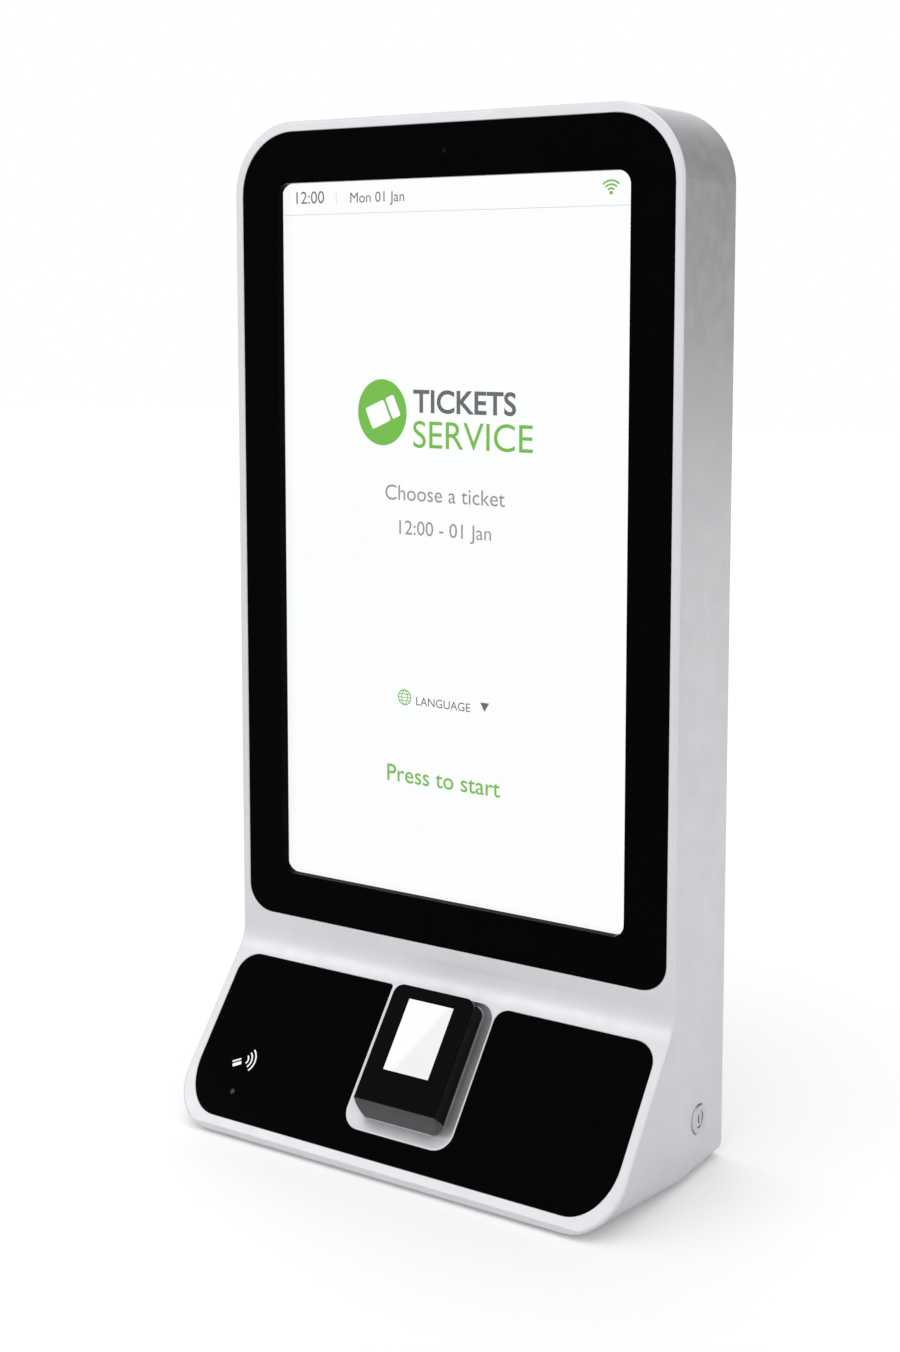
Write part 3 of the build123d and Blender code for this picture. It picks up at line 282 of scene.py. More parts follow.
def addWords(mesh, words, left, right, baseline, place, index, weight=0.0):
    # generic wording, fitted between left and right
    curve = bpy.data.curves.new("words", "FONT")
    curve.body = words
    curve.offset = weight
    curve.resolution_u = 6
    textObject = bpy.data.objects.new("words", curve)
    bpy.context.scene.collection.objects.link(textObject)
    bpy.context.view_layer.update()
    flat = bpy.data.meshes.new_from_object(textObject.evaluated_get(bpy.context.evaluated_depsgraph_get()))
    xs = [v.co.x for v in flat.vertices]
    size = (right - left) / (max(xs) - min(xs))
    shift = left - min(xs) * size
    copies = [mesh.verts.new(place(v.co.x * size + shift, baseline + v.co.y * size)) for v in flat.vertices]
    for polygon in flat.polygons:
        face = mesh.faces.new([copies[i] for i in polygon.vertices])
        face.material_index = index
    bpy.data.objects.remove(textObject)
    bpy.data.meshes.remove(flat)


# the screen: glass over a lit picture

screenLook = {
    "glassThickness": 2.5 * mm,
    "glassCorner": 12 * mm,
    "glassBevel": 0.4 * mm,
    "glassTint": (0.985, 0.99, 0.99),
    "glassIor": 1.32,
    "glassSmear": 0.05,       # roughness of the most touched places
    "smearScale": 22,
    "margin": 8 * mm,         # from the glass's edge to the lit sheet
    "sheetGap": 0.1 * mm,     # the lit sheet in front of the display's front
    "markGap": 0.2 * mm,      # what is drawn, in front of the sheet
    "brightness": 1.0,
    "sheetCorner": 3 * mm,
    "backlightTint": (0.985, 0.99, 1.0),
    "green": (0.155, 0.50, 0.045),
    "darkGrey": (0.115, 0.125, 0.14),
    "midGrey": (0.27, 0.28, 0.30),
    "paleGrey": (0.66, 0.67, 0.69),
    "lean": -1.2 * mm,        # sideways place of the picture in the window
}

# generic wording: left edge, right edge and baseline in millimetres, ink, extra weight
screenWords = (
    ("12:00", -122.4, -99.2, 622.6, "darkGrey", 0),
    ("Mon 01 Jan", -77.7, -34.5, 622.2, "darkGrey", 0),
    ("TICKETS", -27.8, 50.8, 485.0, "darkGrey", 0.02),
    ("SERVICE", -27.8, 63.3, 461.6, "green", 0),
    ("Choose a ticket", -50.3, 42.8, 426.2, "midGrey", 0),
    ("12:00 - 01 Jan", -39.1, 32.4, 403.6, "midGrey", 0),
    ("LANGUAGE", -25.9, 16.6, 289.4, "darkGrey", 0),
    ("Press to start", -49.5, 39.7, 235.4, "green", 0.006),
)

# places and sizes of the drawn marks, in millimetres and degrees
markLook = {
    "signalAt": (117.6, 622.4),
    "signalRadii": (3.2, 5.6, 8.0),
    "signalStroke": 1.15,
    "signalDot": 0.6,
    "dividerAt": (-89.2, 626),
    "dividerTall": 8,
    "dividerWide": 0.5,
    "ruleAt": (0, 615.2),
    "ruleLong": 266,
    "ruleThick": 0.45,
    "badgeAt": (-52.6, 484),
    "badgeHalf": (19.6, 22),
    "ticketTurn": 24,
    "ticketParts": ((-3.6, 16), (9.6, 7)),    # middle and width of the ticket and its stub
    "ticketTall": 15,
    "ticketCorner": 1.6,
    "globeAt": (-35.2, 293.6),
    "globeRadius": 5.0,
    "globeStroke": 0.8,
    "meridianRadius": 6.4,
    "meridianShift": 4.0,
    "meridianSpan": 50,
    "fineStroke": 0.6,
    "globeRungs": (-2.2, 0.0, 2.2),
    "arrow": ((24.3, 296.8), (27.7, 290.9), (31.2, 296.8)),
}


def makeTouchGlass():
    low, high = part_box("touch_glass")
    glass = bpy.data.materials.new("touchGlass")
    glass.use_nodes = True
    shader = glass.node_tree.nodes["Principled BSDF"]
    shader.inputs["Base Color"].default_value = (*screenLook["glassTint"], 1)
    shader.inputs["Transmission Weight"].default_value = 1.0
    shader.inputs["IOR"].default_value = screenLook["glassIor"]
    coords = addNode(glass.node_tree, "ShaderNodeTexCoord")
    touched = noiseInto(glass.node_tree, coords, screenLook["smearScale"], 5)
    smear = remap(glass.node_tree, touched, 0.0, screenLook["glassSmear"])
    glass.node_tree.links.new(smear, shader.inputs["Roughness"])

    mesh = bmesh.new()
    centre = ((low.x + high.x) / 2, (low.z + high.z) / 2)
    outline = roundedRectangle(centre, high.x - low.x, high.z - low.z, screenLook["glassCorner"], 10)
    back = low.y + screenLook["glassThickness"]
    face = meshFromFlat(mesh, outline, lambda x, z: (x, back, z), 0)
    grown = bmesh.ops.extrude_face_region(mesh, geom=[face])
    moved = [item for item in grown["geom"] if isinstance(item, bmesh.types.BMVert)]
    bmesh.ops.translate(mesh, verts=moved, vec=(0, low.y - back, 0))
    rim = [edge for edge in mesh.edges if abs((edge.verts[0].co - edge.verts[1].co).y) < 1e-7]
    bmesh.ops.bevel(mesh, geom=rim, offset=screenLook["glassBevel"], segments=2, affect="EDGES")
    bmesh.ops.recalc_face_normals(mesh, faces=mesh.faces)
    data = bpy.data.meshes.new("touchGlass")
    mesh.to_mesh(data)
    mesh.free()
    finishPiece(pieceFrom(data, "touchGlass", [glass]), "housing", "screen_glass", "touch_glass")


def makeScreenPicture():
    low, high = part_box("lcd_panel")
    windowLow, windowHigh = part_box("touch_glass")
    front = low.y
    lean = screenLook["lean"]
    margin = screenLook["margin"]
    halfWidth = (windowHigh.x - windowLow.x) / 2 - margin
    bottom, top = windowLow.z + margin, windowHigh.z - margin

    def onSheet(x, z):
        return (x, front - screenLook["sheetGap"], z)

    def onPicture(x, z):
        return (x * mm + lean, front - screenLook["markGap"], z * mm)

    sheet = bmesh.new()
    middle = (0, (bottom + top) / 2)
    outline = roundedRectangle(middle, 2 * halfWidth, top - bottom, screenLook["sheetCorner"], 4)
    meshFromFlat(sheet, outline[::-1], onSheet, 0)
    data = bpy.data.meshes.new("litSheet")
    sheet.to_mesh(data)
    sheet.free()
    glow = makeGlow("litScreen", (1, 1, 1), screenLook["brightness"])
    tree = glow.node_tree
    coords = addNode(tree, "ShaderNodeTexCoord")
    tint = addNode(tree, "ShaderNodeMix", data_type="RGBA")  # barely uneven backlight
    tint.inputs["A"].default_value = (*screenLook["backlightTint"], 1)
    tint.inputs["B"].default_value = (1.0, 1.0, 1.0, 1)
    tree.links.new(remap(tree, noiseInto(tree, coords, 7, 1), 0, 1), tint.inputs["Factor"])
    shader = tree.nodes["Principled BSDF"]
    tree.links.new(tint.outputs["Result"], shader.inputs["Emission Color"])
    finishPiece(pieceFrom(data, "litSheet", [glow]), "housing", "display_module")

    colours = ("green", "darkGrey", "midGrey", "paleGrey")
    inks = [makeGlow("ink" + c[0].upper() + c[1:], screenLook[c], 1.0) for c in colours]
    white = makeGlow("inkWhite", (1, 1, 1), screenLook["brightness"])
    green, dark, pale, plain = 0, 1, 3, 4
    mesh = bmesh.new()
    for words, left, right, baseline, ink, weight in screenWords:
        addWords(mesh, words, left, right, baseline, onPicture, colours.index(ink), weight)
    # top line: divider, rule and signal
    divider = roundedRectangle(markLook["dividerAt"], markLook["dividerWide"], markLook["dividerTall"], 0.2, 2)
    meshFromFlat(mesh, divider, onPicture, pale)
    rule = roundedRectangle(markLook["ruleAt"], markLook["ruleLong"], markLook["ruleThick"], 0.2, 2)
    meshFromFlat(mesh, rule, onPicture, pale)
    signalX, signalZ = markLook["signalAt"]
    for radius in markLook["signalRadii"]:
        addArc(mesh, (signalX, signalZ), radius, markLook["signalStroke"], 45, 135, onPicture, green)
    dot = markLook["signalDot"]
    addArc(mesh, (signalX, signalZ + 0.5), dot, 2 * dot, 0, 360, onPicture, green, 12)
    # badge with a plain ticket on it
    badgeX, badgeZ = markLook["badgeAt"]
    halfWide, halfTall = markLook["badgeHalf"]
    ring = [math.radians(degrees) for degrees in range(0, 360, 6)]
    disc = [(badgeX + halfWide * math.cos(a), badgeZ + halfTall * math.sin(a)) for a in ring]
    meshFromFlat(mesh, disc, onPicture, green)

    def onBadge(a, b):
        turn = math.radians(markLook["ticketTurn"])
        x = badgeX + a * math.cos(turn) - b * math.sin(turn)
        z = badgeZ + a * math.sin(turn) + b * math.cos(turn)
        return (x * mm + lean, front - 1.5 * screenLook["markGap"], z * mm)

    for place, width in markLook["ticketParts"]:
        part = roundedRectangle((place, 0), width, markLook["ticketTall"], markLook["ticketCorner"])
        meshFromFlat(mesh, part, onBadge, plain)
    # language choice: a globe and an arrow
    globeX, globeZ = markLook["globeAt"]
    globeRadius, fine = markLook["globeRadius"], markLook["fineStroke"]
    for start in (0, 180):
        addArc(mesh, (globeX, globeZ), globeRadius, markLook["globeStroke"], start, start + 180,
               onPicture, green)
    span = markLook["meridianSpan"]
    for bow in (-1, 1):
        facing = 90 + bow * 90
        centre = (globeX + bow * markLook["meridianShift"], globeZ)
        addArc(mesh, centre, markLook["meridianRadius"], fine, facing - span, facing + span,
               onPicture, green, 14)
    for rise in markLook["globeRungs"]:
        width = 2 * math.sqrt(globeRadius ** 2 - rise ** 2)
        rung = roundedRectangle((globeX, globeZ + rise), width, fine, 0.2, 2)
        meshFromFlat(mesh, rung, onPicture, green)
    meshFromFlat(mesh, markLook["arrow"], onPicture, dark)
    bmesh.ops.recalc_face_normals(mesh, faces=mesh.faces)
    for face in mesh.faces:
        if face.normal.y > 0:
            face.normal_flip()
    data = bpy.data.meshes.new("screenMarks")
    mesh.to_mesh(data)
    mesh.free()
    finishPiece(pieceFrom(data, "screenMarks", [*inks, white]), "housing", "display_module")


makeTouchGlass()
makeScreenPicture()
print("screen made")

# console: tap mark and reader display

tapMarkLook = {
    "across": -127.9 * mm,
    "down": 84.5 * mm,
    "arcRadii": (3.5, 6.4, 9.3),
    "stroke": 1.15,
    "tilt": 5.6,               # degrees that the waves lean up the slope
    "halfSpan": 50,
    "cardTurn": 28,
    "cardAt": (-5.6, -0.6),    # millimetres from the waves' centre
    "cardWide": 7.0,
    "cardParts": ((-1.2, 2.4, 0.7), (1.5, 1.1, 0.45)),  # middle, height and corner of its two blocks
    "ink": (0.80, 0.80, 0.80),
    "height": -0.04 * mm,      # the printed ink, just proud of the panel's face
}


def makeTapMark():
    origin = onConsole(tapMarkLook["across"], tapMarkLook["down"], tapMarkLook["height"])

    def onPanel(a, b):
        return origin + across * a * mm + upSlope * b * mm

    mesh = bmesh.new()
    tilt, halfSpan = tapMarkLook["tilt"], tapMarkLook["halfSpan"]
    for radius in tapMarkLook["arcRadii"]:
        addArc(mesh, (0, 0), radius, tapMarkLook["stroke"], tilt - halfSpan, tilt + halfSpan, onPanel, 0)
    # a plain card held towards the waves
    turn = math.radians(tapMarkLook["cardTurn"])

    def onCard(a, b):
        x, z = a + tapMarkLook["cardAt"][0], b + tapMarkLook["cardAt"][1]
        return onPanel(x * math.cos(turn) - z * math.sin(turn), x * math.sin(turn) + z * math.cos(turn))

    for middle, tall, corner in tapMarkLook["cardParts"]:
        block = roundedRectangle((0, middle), tapMarkLook["cardWide"], tall, corner)
        meshFromFlat(mesh, block, onCard, 0)
    for face in mesh.faces:
        face.normal_update()
        if face.normal.dot(offSlope) < 0:
            face.normal_flip()
    data = bpy.data.meshes.new("tapMark")
    mesh.to_mesh(data)
    mesh.free()
    ink = makeFinish("printedWhite", dict(
        base=tapMarkLook["ink"], roughness=0.5, roughnessSpread=0.05, specular=0.2,
        grain=3000, grainHeight=0.004, mottle=900, mottleAmount=0.06,
    ))
    finishPiece(pieceFrom(data, "tapMark", [ink]), "housing", "black_gloss")


readerLook = {
    "facetFrom": 91.9 * mm,    # down the slope, where the face breaks into the lower facet
    "facetSoftness": 0.35 * mm,
    # the lower facet's lighter grey is painted light, for how light falls on that satin facet
    "paintedLitFacetTone": (0.088, 0.088, 0.091),
    "paintedSheenTurn": -32,          # degrees that the display's painted sheen leans
    # tone of the painted sheen, a painted reflection on the reader's display
    "paintedSheenTone": (0.89, 0.90, 0.905),
}


def makeReaderScreenFinish():
    # a pale lit display with a faint diagonal painted sheen: a painted reflection, dimmer white on one side of
    # a slanted line
    material = makeGlow("readerScreen", (1, 1, 1), 1.0)
    tree = material.node_tree
    coords = addNode(tree, "ShaderNodeTexCoord")
    mapping = addNode(tree, "ShaderNodeMapping")
    mapping.inputs["Location"].default_value = -middleOf("reader_display")
    spin = addNode(tree, "ShaderNodeMapping")
    spin.inputs["Rotation"].default_value = (0, math.radians(readerLook["paintedSheenTurn"]), 0)
    tree.links.new(coords.outputs["Object"], mapping.inputs["Vector"])
    tree.links.new(mapping.outputs["Vector"], spin.inputs["Vector"])
    split = addNode(tree, "ShaderNodeSeparateXYZ")
    tree.links.new(spin.outputs["Vector"], split.inputs["Vector"])
    # painted sheen: past a slanted line the display turns a dimmer grey-white, standing in for a reflection
    paintedSheen = remap(tree, split.outputs["X"], 0.0, 1.0, -0.001, 0.003)
    tint = addNode(tree, "ShaderNodeMix", data_type="RGBA")
    tint.inputs["A"].default_value = (1.0, 1.0, 1.0, 1)
    tint.inputs["B"].default_value = (*readerLook["paintedSheenTone"], 1)
    tree.links.new(paintedSheen, tint.inputs["Factor"])
    tree.links.new(tint.outputs["Result"], tree.nodes["Principled BSDF"].inputs["Emission Color"])
    return material


def paintReaderFacetLight():
    # the facet below the reader's face is painted a lighter grey: a painted sheen for its satin finish,
    # standing in for how light falls on that facet
    material = finishes["readerBlack"]
    tree = material.node_tree
    shader = tree.nodes["Principled BSDF"]
    blotches = shader.inputs["Base Color"].links[0].from_socket
    coords = addNode(tree, "ShaderNodeTexCoord")
    along = addNode(tree, "ShaderNodeVectorMath", operation="DOT_PRODUCT")
    along.inputs[1].default_value = -upSlope
    tree.links.new(coords.outputs["Object"], along.inputs[0])
    edge = -upSlope.dot(consoleOrigin) + readerLook["facetFrom"]
    # painted light: down the slope past this line the reader's black base turns the lighter facet grey
    litFacetMask = remap(tree, along.outputs["Value"], 0, 1, edge, edge + readerLook["facetSoftness"])
    mix = addNode(tree, "ShaderNodeMix", data_type="RGBA")
    mix.inputs["B"].default_value = (*readerLook["paintedLitFacetTone"], 1)
    tree.links.new(litFacetMask, mix.inputs["Factor"])
    tree.links.new(blotches, mix.inputs["A"])
    tree.links.new(mix.outputs["Result"], shader.inputs["Base Color"])


makeTapMark()
paintReaderFacetLight()
finishes["readerScreen"] = makeReaderScreenFinish()
print("console made")

# what repeats inside the back, grown by Geometry Nodes


def startTree(name, sizes):
    # a tree that takes points and has a named input for each size
    tree = bpy.data.node_groups.new(name, "GeometryNodeTree")
    tree.interface.new_socket("Geometry", in_out="INPUT", socket_type="NodeSocketGeometry")
    for label, value in sizes.items():
        kind = "NodeSocketInt" if isinstance(value, int) else "NodeSocketFloat"
        tree.interface.new_socket(label, in_out="INPUT", socket_type=kind).default_value = value
    tree.interface.new_socket("Geometry", in_out="OUTPUT", socket_type="NodeSocketGeometry")
    return tree, addNode(tree, "NodeGroupInput")


def feed(tree, sockets, values):
    # a number is set on its socket, anything else is linked to it
    for socket, value in zip(sockets, values):
        if isinstance(value, (int, float)):
            socket.default_value = value
        else:
            tree.links.new(value, socket)


def math2(tree, operation, a, b):
    node = addNode(tree, "ShaderNodeMath", operation=operation)
    feed(tree, node.inputs, (a, b))
    return node.outputs["Value"]


def vectorOf(tree, x, y, z):
    node = addNode(tree, "ShaderNodeCombineXYZ")
    feed(tree, node.inputs, (x, y, z))
    return node.outputs["Vector"]


def boxNode(tree, size):
    node = addNode(tree, "GeometryNodeMeshCube")
    tree.links.new(size, node.inputs["Size"])
    return node.outputs["Mesh"]


def roundNode(tree, top, bottom, depth, sides):
    node = addNode(tree, "GeometryNodeMeshCone")
    node.inputs["Vertices"].default_value = sides
    for label, value in (("Radius Top", top), ("Radius Bottom", bottom), ("Depth", depth)):
        tree.links.new(value, node.inputs[label])
    return node.outputs["Mesh"]


def shiftNode(tree, geometry, place):
    node = addNode(tree, "GeometryNodeTransform")
    tree.links.new(geometry, node.inputs["Geometry"])
    tree.links.new(place, node.inputs["Translation"])
    return node.outputs["Geometry"]


def joinNode(tree, *parts):
    node = addNode(tree, "GeometryNodeJoinGeometry")
    for part in parts:
        tree.links.new(part, node.inputs["Geometry"])
    return node.outputs["Geometry"]


def cutNode(tree, body, cutter):
    node = addNode(tree, "GeometryNodeMeshBoolean", operation="DIFFERENCE")
    tree.links.new(body, node.inputs[0])
    tree.links.new(cutter, node.inputs[1])
    return node.outputs["Mesh"]


def endTree(tree, group, shapes, turn, spin=None):
    # each shape is put on the points, turned to face the back, made real and given its finish
    layers = []
    for shape, finish in shapes:
        scatter = addNode(tree, "GeometryNodeInstanceOnPoints")
        tree.links.new(group.outputs["Geometry"], scatter.inputs["Points"])
        tree.links.new(shape, scatter.inputs["Instance"])
        scatter.inputs["Rotation"].default_value = turn
        grown = scatter.outputs["Instances"]
        if spin is not None:
            twist = addNode(tree, "GeometryNodeRotateInstances")
            tree.links.new(grown, twist.inputs["Instances"])
            tree.links.new(vectorOf(tree, 0, 0, spin), twist.inputs["Rotation"])
            grown = twist.outputs["Instances"]
        real = addNode(tree, "GeometryNodeRealizeInstances")
        tree.links.new(grown, real.inputs["Geometry"])
        painted = addNode(tree, "GeometryNodeSetMaterial")
        painted.inputs["Material"].default_value = finishes[finish]
        tree.links.new(real.outputs["Geometry"], painted.inputs["Geometry"])
        layers.append(painted.outputs["Geometry"])
    tree.links.new(joinNode(tree, *layers), addNode(tree, "NodeGroupOutput").inputs["Geometry"])


def growPiece(name, tree, sizes, points):
    # runs a tree on points and keeps the result as a plain mesh
    mesh = bpy.data.meshes.new(name + "Points")
    mesh.from_pydata([tuple(p) for p in points], [], [])
    obj = bpy.data.objects.new(name, mesh)
    bpy.context.scene.collection.objects.link(obj)
    modifier = obj.modifiers.new("grow", "NODES")
    modifier.node_group = tree
    for item in tree.interface.items_tree:
        if item.in_out == "INPUT" and item.name in sizes:
            modifier[item.identifier] = sizes[item.name]
    obj.update_tag()
    grown = bpy.data.meshes.new_from_object(obj.evaluated_get(bpy.context.evaluated_depsgraph_get()))
    obj.modifiers.remove(modifier)
    obj.data = grown
    grown.name = name
    return obj


def solidsOf(node):
    # the separate solids of a group node, each as its points
    mesh = bmesh.new()
    mesh.from_mesh(frame["nodes"][node].data)
    bmesh.ops.remove_doubles(mesh, verts=mesh.verts, dist=0.01 * mm)
    seen, solids = set(), []
    for start in mesh.verts:
        if start in seen:
            continue
        seen.add(start)
        solid, waiting = [], [start]
        while waiting:
            corner = waiting.pop()
            solid.append(corner.co.copy())
            for edge in corner.link_edges:
                other = edge.other_vert(corner)
                if other not in seen:
                    seen.add(other)
                    waiting.append(other)
        solids.append(solid)
    mesh.free()
    return solids


def spanOf(points):
    low = Vector([min(p[i] for p in points) for i in range(3)])
    high = Vector([max(p[i] for p in points) for i in range(3)])
    return low, high


facingBack = (-math.pi / 2, 0, 0)  # turns a shape's z to +Y

screwLook = {
    "crossWidth": 0.22,       # of the head's radius
    "crossReach": 1.15,       # its length, of the head's radius
    "crossDepth": 0.62,       # of the head's height
    "edgeTaper": 0.86,        # the head's top, of its radius
    "headSides": 20,
    "shankSides": 12,
    "seed": 11,
}


def makeScrewTree():
    # pan head with a cross recess, on its shank
    sizes = {"Head Radius": 3.0 * mm, "Head Height": 1.8 * mm,
             "Shank Radius": 1.5 * mm, "Shank Length": 6.0 * mm, "Seed": screwLook["seed"]}
    tree, group = startTree("panHeadScrews", sizes)
    radius, height = group.outputs["Head Radius"], group.outputs["Head Height"]
    top = math2(tree, "MULTIPLY", radius, screwLook["edgeTaper"])
    head = roundNode(tree, top, radius, height, screwLook["headSides"])
    width = math2(tree, "MULTIPLY", radius, screwLook["crossWidth"])
    reach = math2(tree, "MULTIPLY", radius, screwLook["crossReach"])
    depth = math2(tree, "MULTIPLY", height, 2 * screwLook["crossDepth"])
    bars = joinNode(tree, boxNode(tree, vectorOf(tree, reach, width, depth)),
                    boxNode(tree, vectorOf(tree, width, reach, depth)))
    head = cutNode(tree, head, shiftNode(tree, bars, vectorOf(tree, 0, 0, height)))
    length = group.outputs["Shank Length"]
    shankRadius = group.outputs["Shank Radius"]
    shank = roundNode(tree, shankRadius, shankRadius, length, screwLook["shankSides"])
    shank = shiftNode(tree, shank, vectorOf(tree, 0, 0, math2(tree, "MULTIPLY", length, -1)))
    dice = addNode(tree, "FunctionNodeRandomValue", data_type="FLOAT")
    dice.inputs["Max"].default_value = math.pi
    tree.links.new(group.outputs["Seed"], dice.inputs["Seed"])
    spin = [socket for socket in dice.outputs if socket.enabled][0]
    endTree(tree, group, [(joinNode(tree, head, shank), "platedSteel")], facingBack, spin)
    return tree


def makeScrews(tree, node):
    # reads the CAD screws' places and sizes: heads towards the back
    bases, sizes = [], {}
    for points in solidsOf(node):
        low, high = spanOf(points)
        middle = (low + high) / 2
        radius = (high.x - low.x) / 2
        rings = [(math.hypot(p.x - middle.x, p.z - middle.z), p.y) for p in points]
        headBase = min(y for reach, y in rings if reach > 0.9 * radius)  # the rim's lowest ring
        bases.append((middle.x, headBase, middle.z))
        shankRadius = max(reach for reach, y in rings if y < headBase - 0.1 * mm)
        sizes = {"Head Radius": radius, "Head Height": high.y - headBase,
                 "Shank Radius": shankRadius, "Shank Length": headBase - low.y}
    words = node.split("_")
    name = words[0] + "".join(word.capitalize() for word in words[1:])
    finishPiece(growPiece(name, tree, sizes, bases), "housing", "plated_steel", node)


connectorLook = {
    "wall": 0.9 * mm,
    "socketDepth": 8.0 * mm,
    "tongue": 1.6 * mm,
    "tongueWide": 0.72,       # of the socket's width
    "tongueSunk": 0.6,        # of the socket's depth
}


def makeConnectorTree():
    # a metal shell with a socket and a tongue in it
    tree, group = startTree("boardSockets", {"Width": 14.0 * mm, "Tall": 12.0 * mm, "Deep": 11.0 * mm})
    width, tall, deep = (group.outputs[label] for label in ("Width", "Tall", "Deep"))
    shell = shiftNode(tree, boxNode(tree, vectorOf(tree, width, tall, deep)),
                      vectorOf(tree, 0, 0, math2(tree, "MULTIPLY", deep, 0.5)))
    inner = [math2(tree, "SUBTRACT", side, 2 * connectorLook["wall"]) for side in (width, tall)]
    socketDepth = connectorLook["socketDepth"]
    hollow = boxNode(tree, vectorOf(tree, *inner, 2 * socketDepth))
    shell = cutNode(tree, shell, shiftNode(tree, hollow, vectorOf(tree, 0, 0, deep)))
    blade = math2(tree, "MULTIPLY", inner[0], connectorLook["tongueWide"])
    tongue = boxNode(tree, vectorOf(tree, blade, connectorLook["tongue"], socketDepth))
    sunk = math2(tree, "SUBTRACT", deep, connectorLook["tongueSunk"] * socketDepth)
    tongue = shiftNode(tree, tongue, vectorOf(tree, 0, 0, sunk))
    endTree(tree, group, [(shell, "platedSteel"), (tongue, "mouldedBlack")], facingBack)
    return tree


def makeConnectors():
    groups = {}
    for points in solidsOf("board_connectors"):
        low, high = spanOf(points)
        size = tuple(round(side, 4) for side in high - low)
        groups.setdefault(size, []).append(((low.x + high.x) / 2, low.y, (low.z + high.z) / 2))
    tree = makeConnectorTree()
    pieces = []
    for index, (size, places) in enumerate(sorted(groups.items())):
        values = {"Width": size[0], "Tall": size[2], "Deep": size[1]}
        pieces.append(growPiece(f"boardSockets{index + 1}", tree, values, places))
    for piece in pieces:
        finishPiece(piece, "housing", "plated_steel", "board_connectors")


chipLook = {
    "size": (8.0 * mm, 5.0 * mm, 1.4 * mm),
    "legs": 6,
    "legWidth": 0.5 * mm,
    "legReach": 1.1 * mm,
    "legRow": 0.42,           # half the row of legs, of the chip's length
    "legThick": 0.45,         # of the chip's thickness
    "seed": 5,
    "count": 18,
    "room": 9 * mm,           # across the place that each chip takes up
    "gap": 1.2 * mm,
}

memoryLook = {"chips": 4, "size": (22.0 * mm, 10.0 * mm, 1.2 * mm), "legs": 10}


def chipSizes(look):
    return {**dict(zip(("Long", "Wide", "Thick"), look["size"])), "Legs": look["legs"]}


def makeChipTree():
    # a moulded chip with a row of legs on two sides
    tree, group = startTree("boardChips", chipSizes(chipLook))
    long, wide, thick, legs = (group.outputs[label] for label in ("Long", "Wide", "Thick", "Legs"))
    half = math2(tree, "MULTIPLY", thick, 0.5)
    body = shiftNode(tree, boxNode(tree, vectorOf(tree, long, wide, thick)),
                     vectorOf(tree, 0, 0, math2(tree, "MULTIPLY", thick, 0.6)))
    row = addNode(tree, "GeometryNodeMeshLine", mode="END_POINTS")
    reach = math2(tree, "MULTIPLY", long, chipLook["legRow"])
    tree.links.new(legs, row.inputs["Count"])
    tree.links.new(vectorOf(tree, math2(tree, "MULTIPLY", reach, -1), 0, half), row.inputs["Start Location"])
    tree.links.new(vectorOf(tree, reach, 0, half), row.inputs["Offset"])
    leg = boxNode(tree, vectorOf(tree, chipLook["legWidth"],
                                 math2(tree, "ADD", wide, 2 * chipLook["legReach"]),
                                 math2(tree, "MULTIPLY", thick, chipLook["legThick"])))
    rowOfLegs = addNode(tree, "GeometryNodeInstanceOnPoints")
    tree.links.new(row.outputs["Mesh"], rowOfLegs.inputs["Points"])
    tree.links.new(leg, rowOfLegs.inputs["Instance"])
    legs = rowOfLegs.outputs["Instances"]
    endTree(tree, group, [(body, "mouldedBlack"), (legs, "platedSteel")], facingBack)
    return tree


boardObstacles = ("heat_sink", "memory_module", "processor")
placeTries = 4000


def freePlaces(look, earlier=()):
    # places on the board, clear of what stands on it, of each other and of earlier ones
    dice = random.Random(look["seed"])
    low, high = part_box("mainboard")
    taken = [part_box(node) for node in boardObstacles]
    for node in ("board_screws", "board_connectors"):
        taken += [spanOf(points) for points in solidsOf(node)]
    room, gap = look["room"], look["gap"]
    reach = room / 2 + gap
    places = []
    for _ in range(placeTries):
        x = dice.uniform(low.x + room, high.x - room)
        z = dice.uniform(low.z + room, high.z - room)
        blocked = any(start.x - reach < x < end.x + reach and start.z - reach < z < end.z + reach
                      for start, end in taken)
        crowded = any(math.hypot(x - p[0], z - p[2]) < room + gap for p in (*places, *earlier))
        if not blocked and not crowded:
            places.append((x, high.y, z))
        if len(places) == look["count"]:
            break
    return places


canLook = {
    "radius": 3.2 * mm,
    "height": 8.0 * mm,
    "sleeve": 0.86,           # of the height
    "crimp": 0.09,
    "rim": 0.35 * mm,
    "sides": 20,
    "count": 9,
    "seed": 23,
    "room": 8 * mm,
    "gap": 1.0 * mm,
}


def makeCanTree():
    # an upright capacitor: sleeve, crimped neck and a bare top
    tree, group = startTree("capacitors", {"Radius": canLook["radius"], "Height": canLook["height"]})
    radius, height = group.outputs["Radius"], group.outputs["Height"]
    sleeveTop = math2(tree, "MULTIPLY", height, canLook["sleeve"])
    sleeve = roundNode(tree, radius, radius, sleeveTop, canLook["sides"])
    neck = math2(tree, "SUBTRACT", radius, canLook["rim"])
    top = roundNode(tree, neck, radius, math2(tree, "MULTIPLY", height, canLook["crimp"]), canLook["sides"])
    top = shiftNode(tree, top, vectorOf(tree, 0, 0, sleeveTop))
    endTree(tree, group, [(sleeve, "mouldedBlack"), (top, "bareAluminium")], facingBack)
    return tree


louvreLook = {
    "columns": 12,
    "rows": 4,
    "columnStep": 11.5 * mm,
    "rowStep": 17 * mm,
    "long": 8.0 * mm,
    "radius": 0.8 * mm,
    "taper": 0.5,
    "sides": 10,
    "sunk": 0.1 * mm,
}


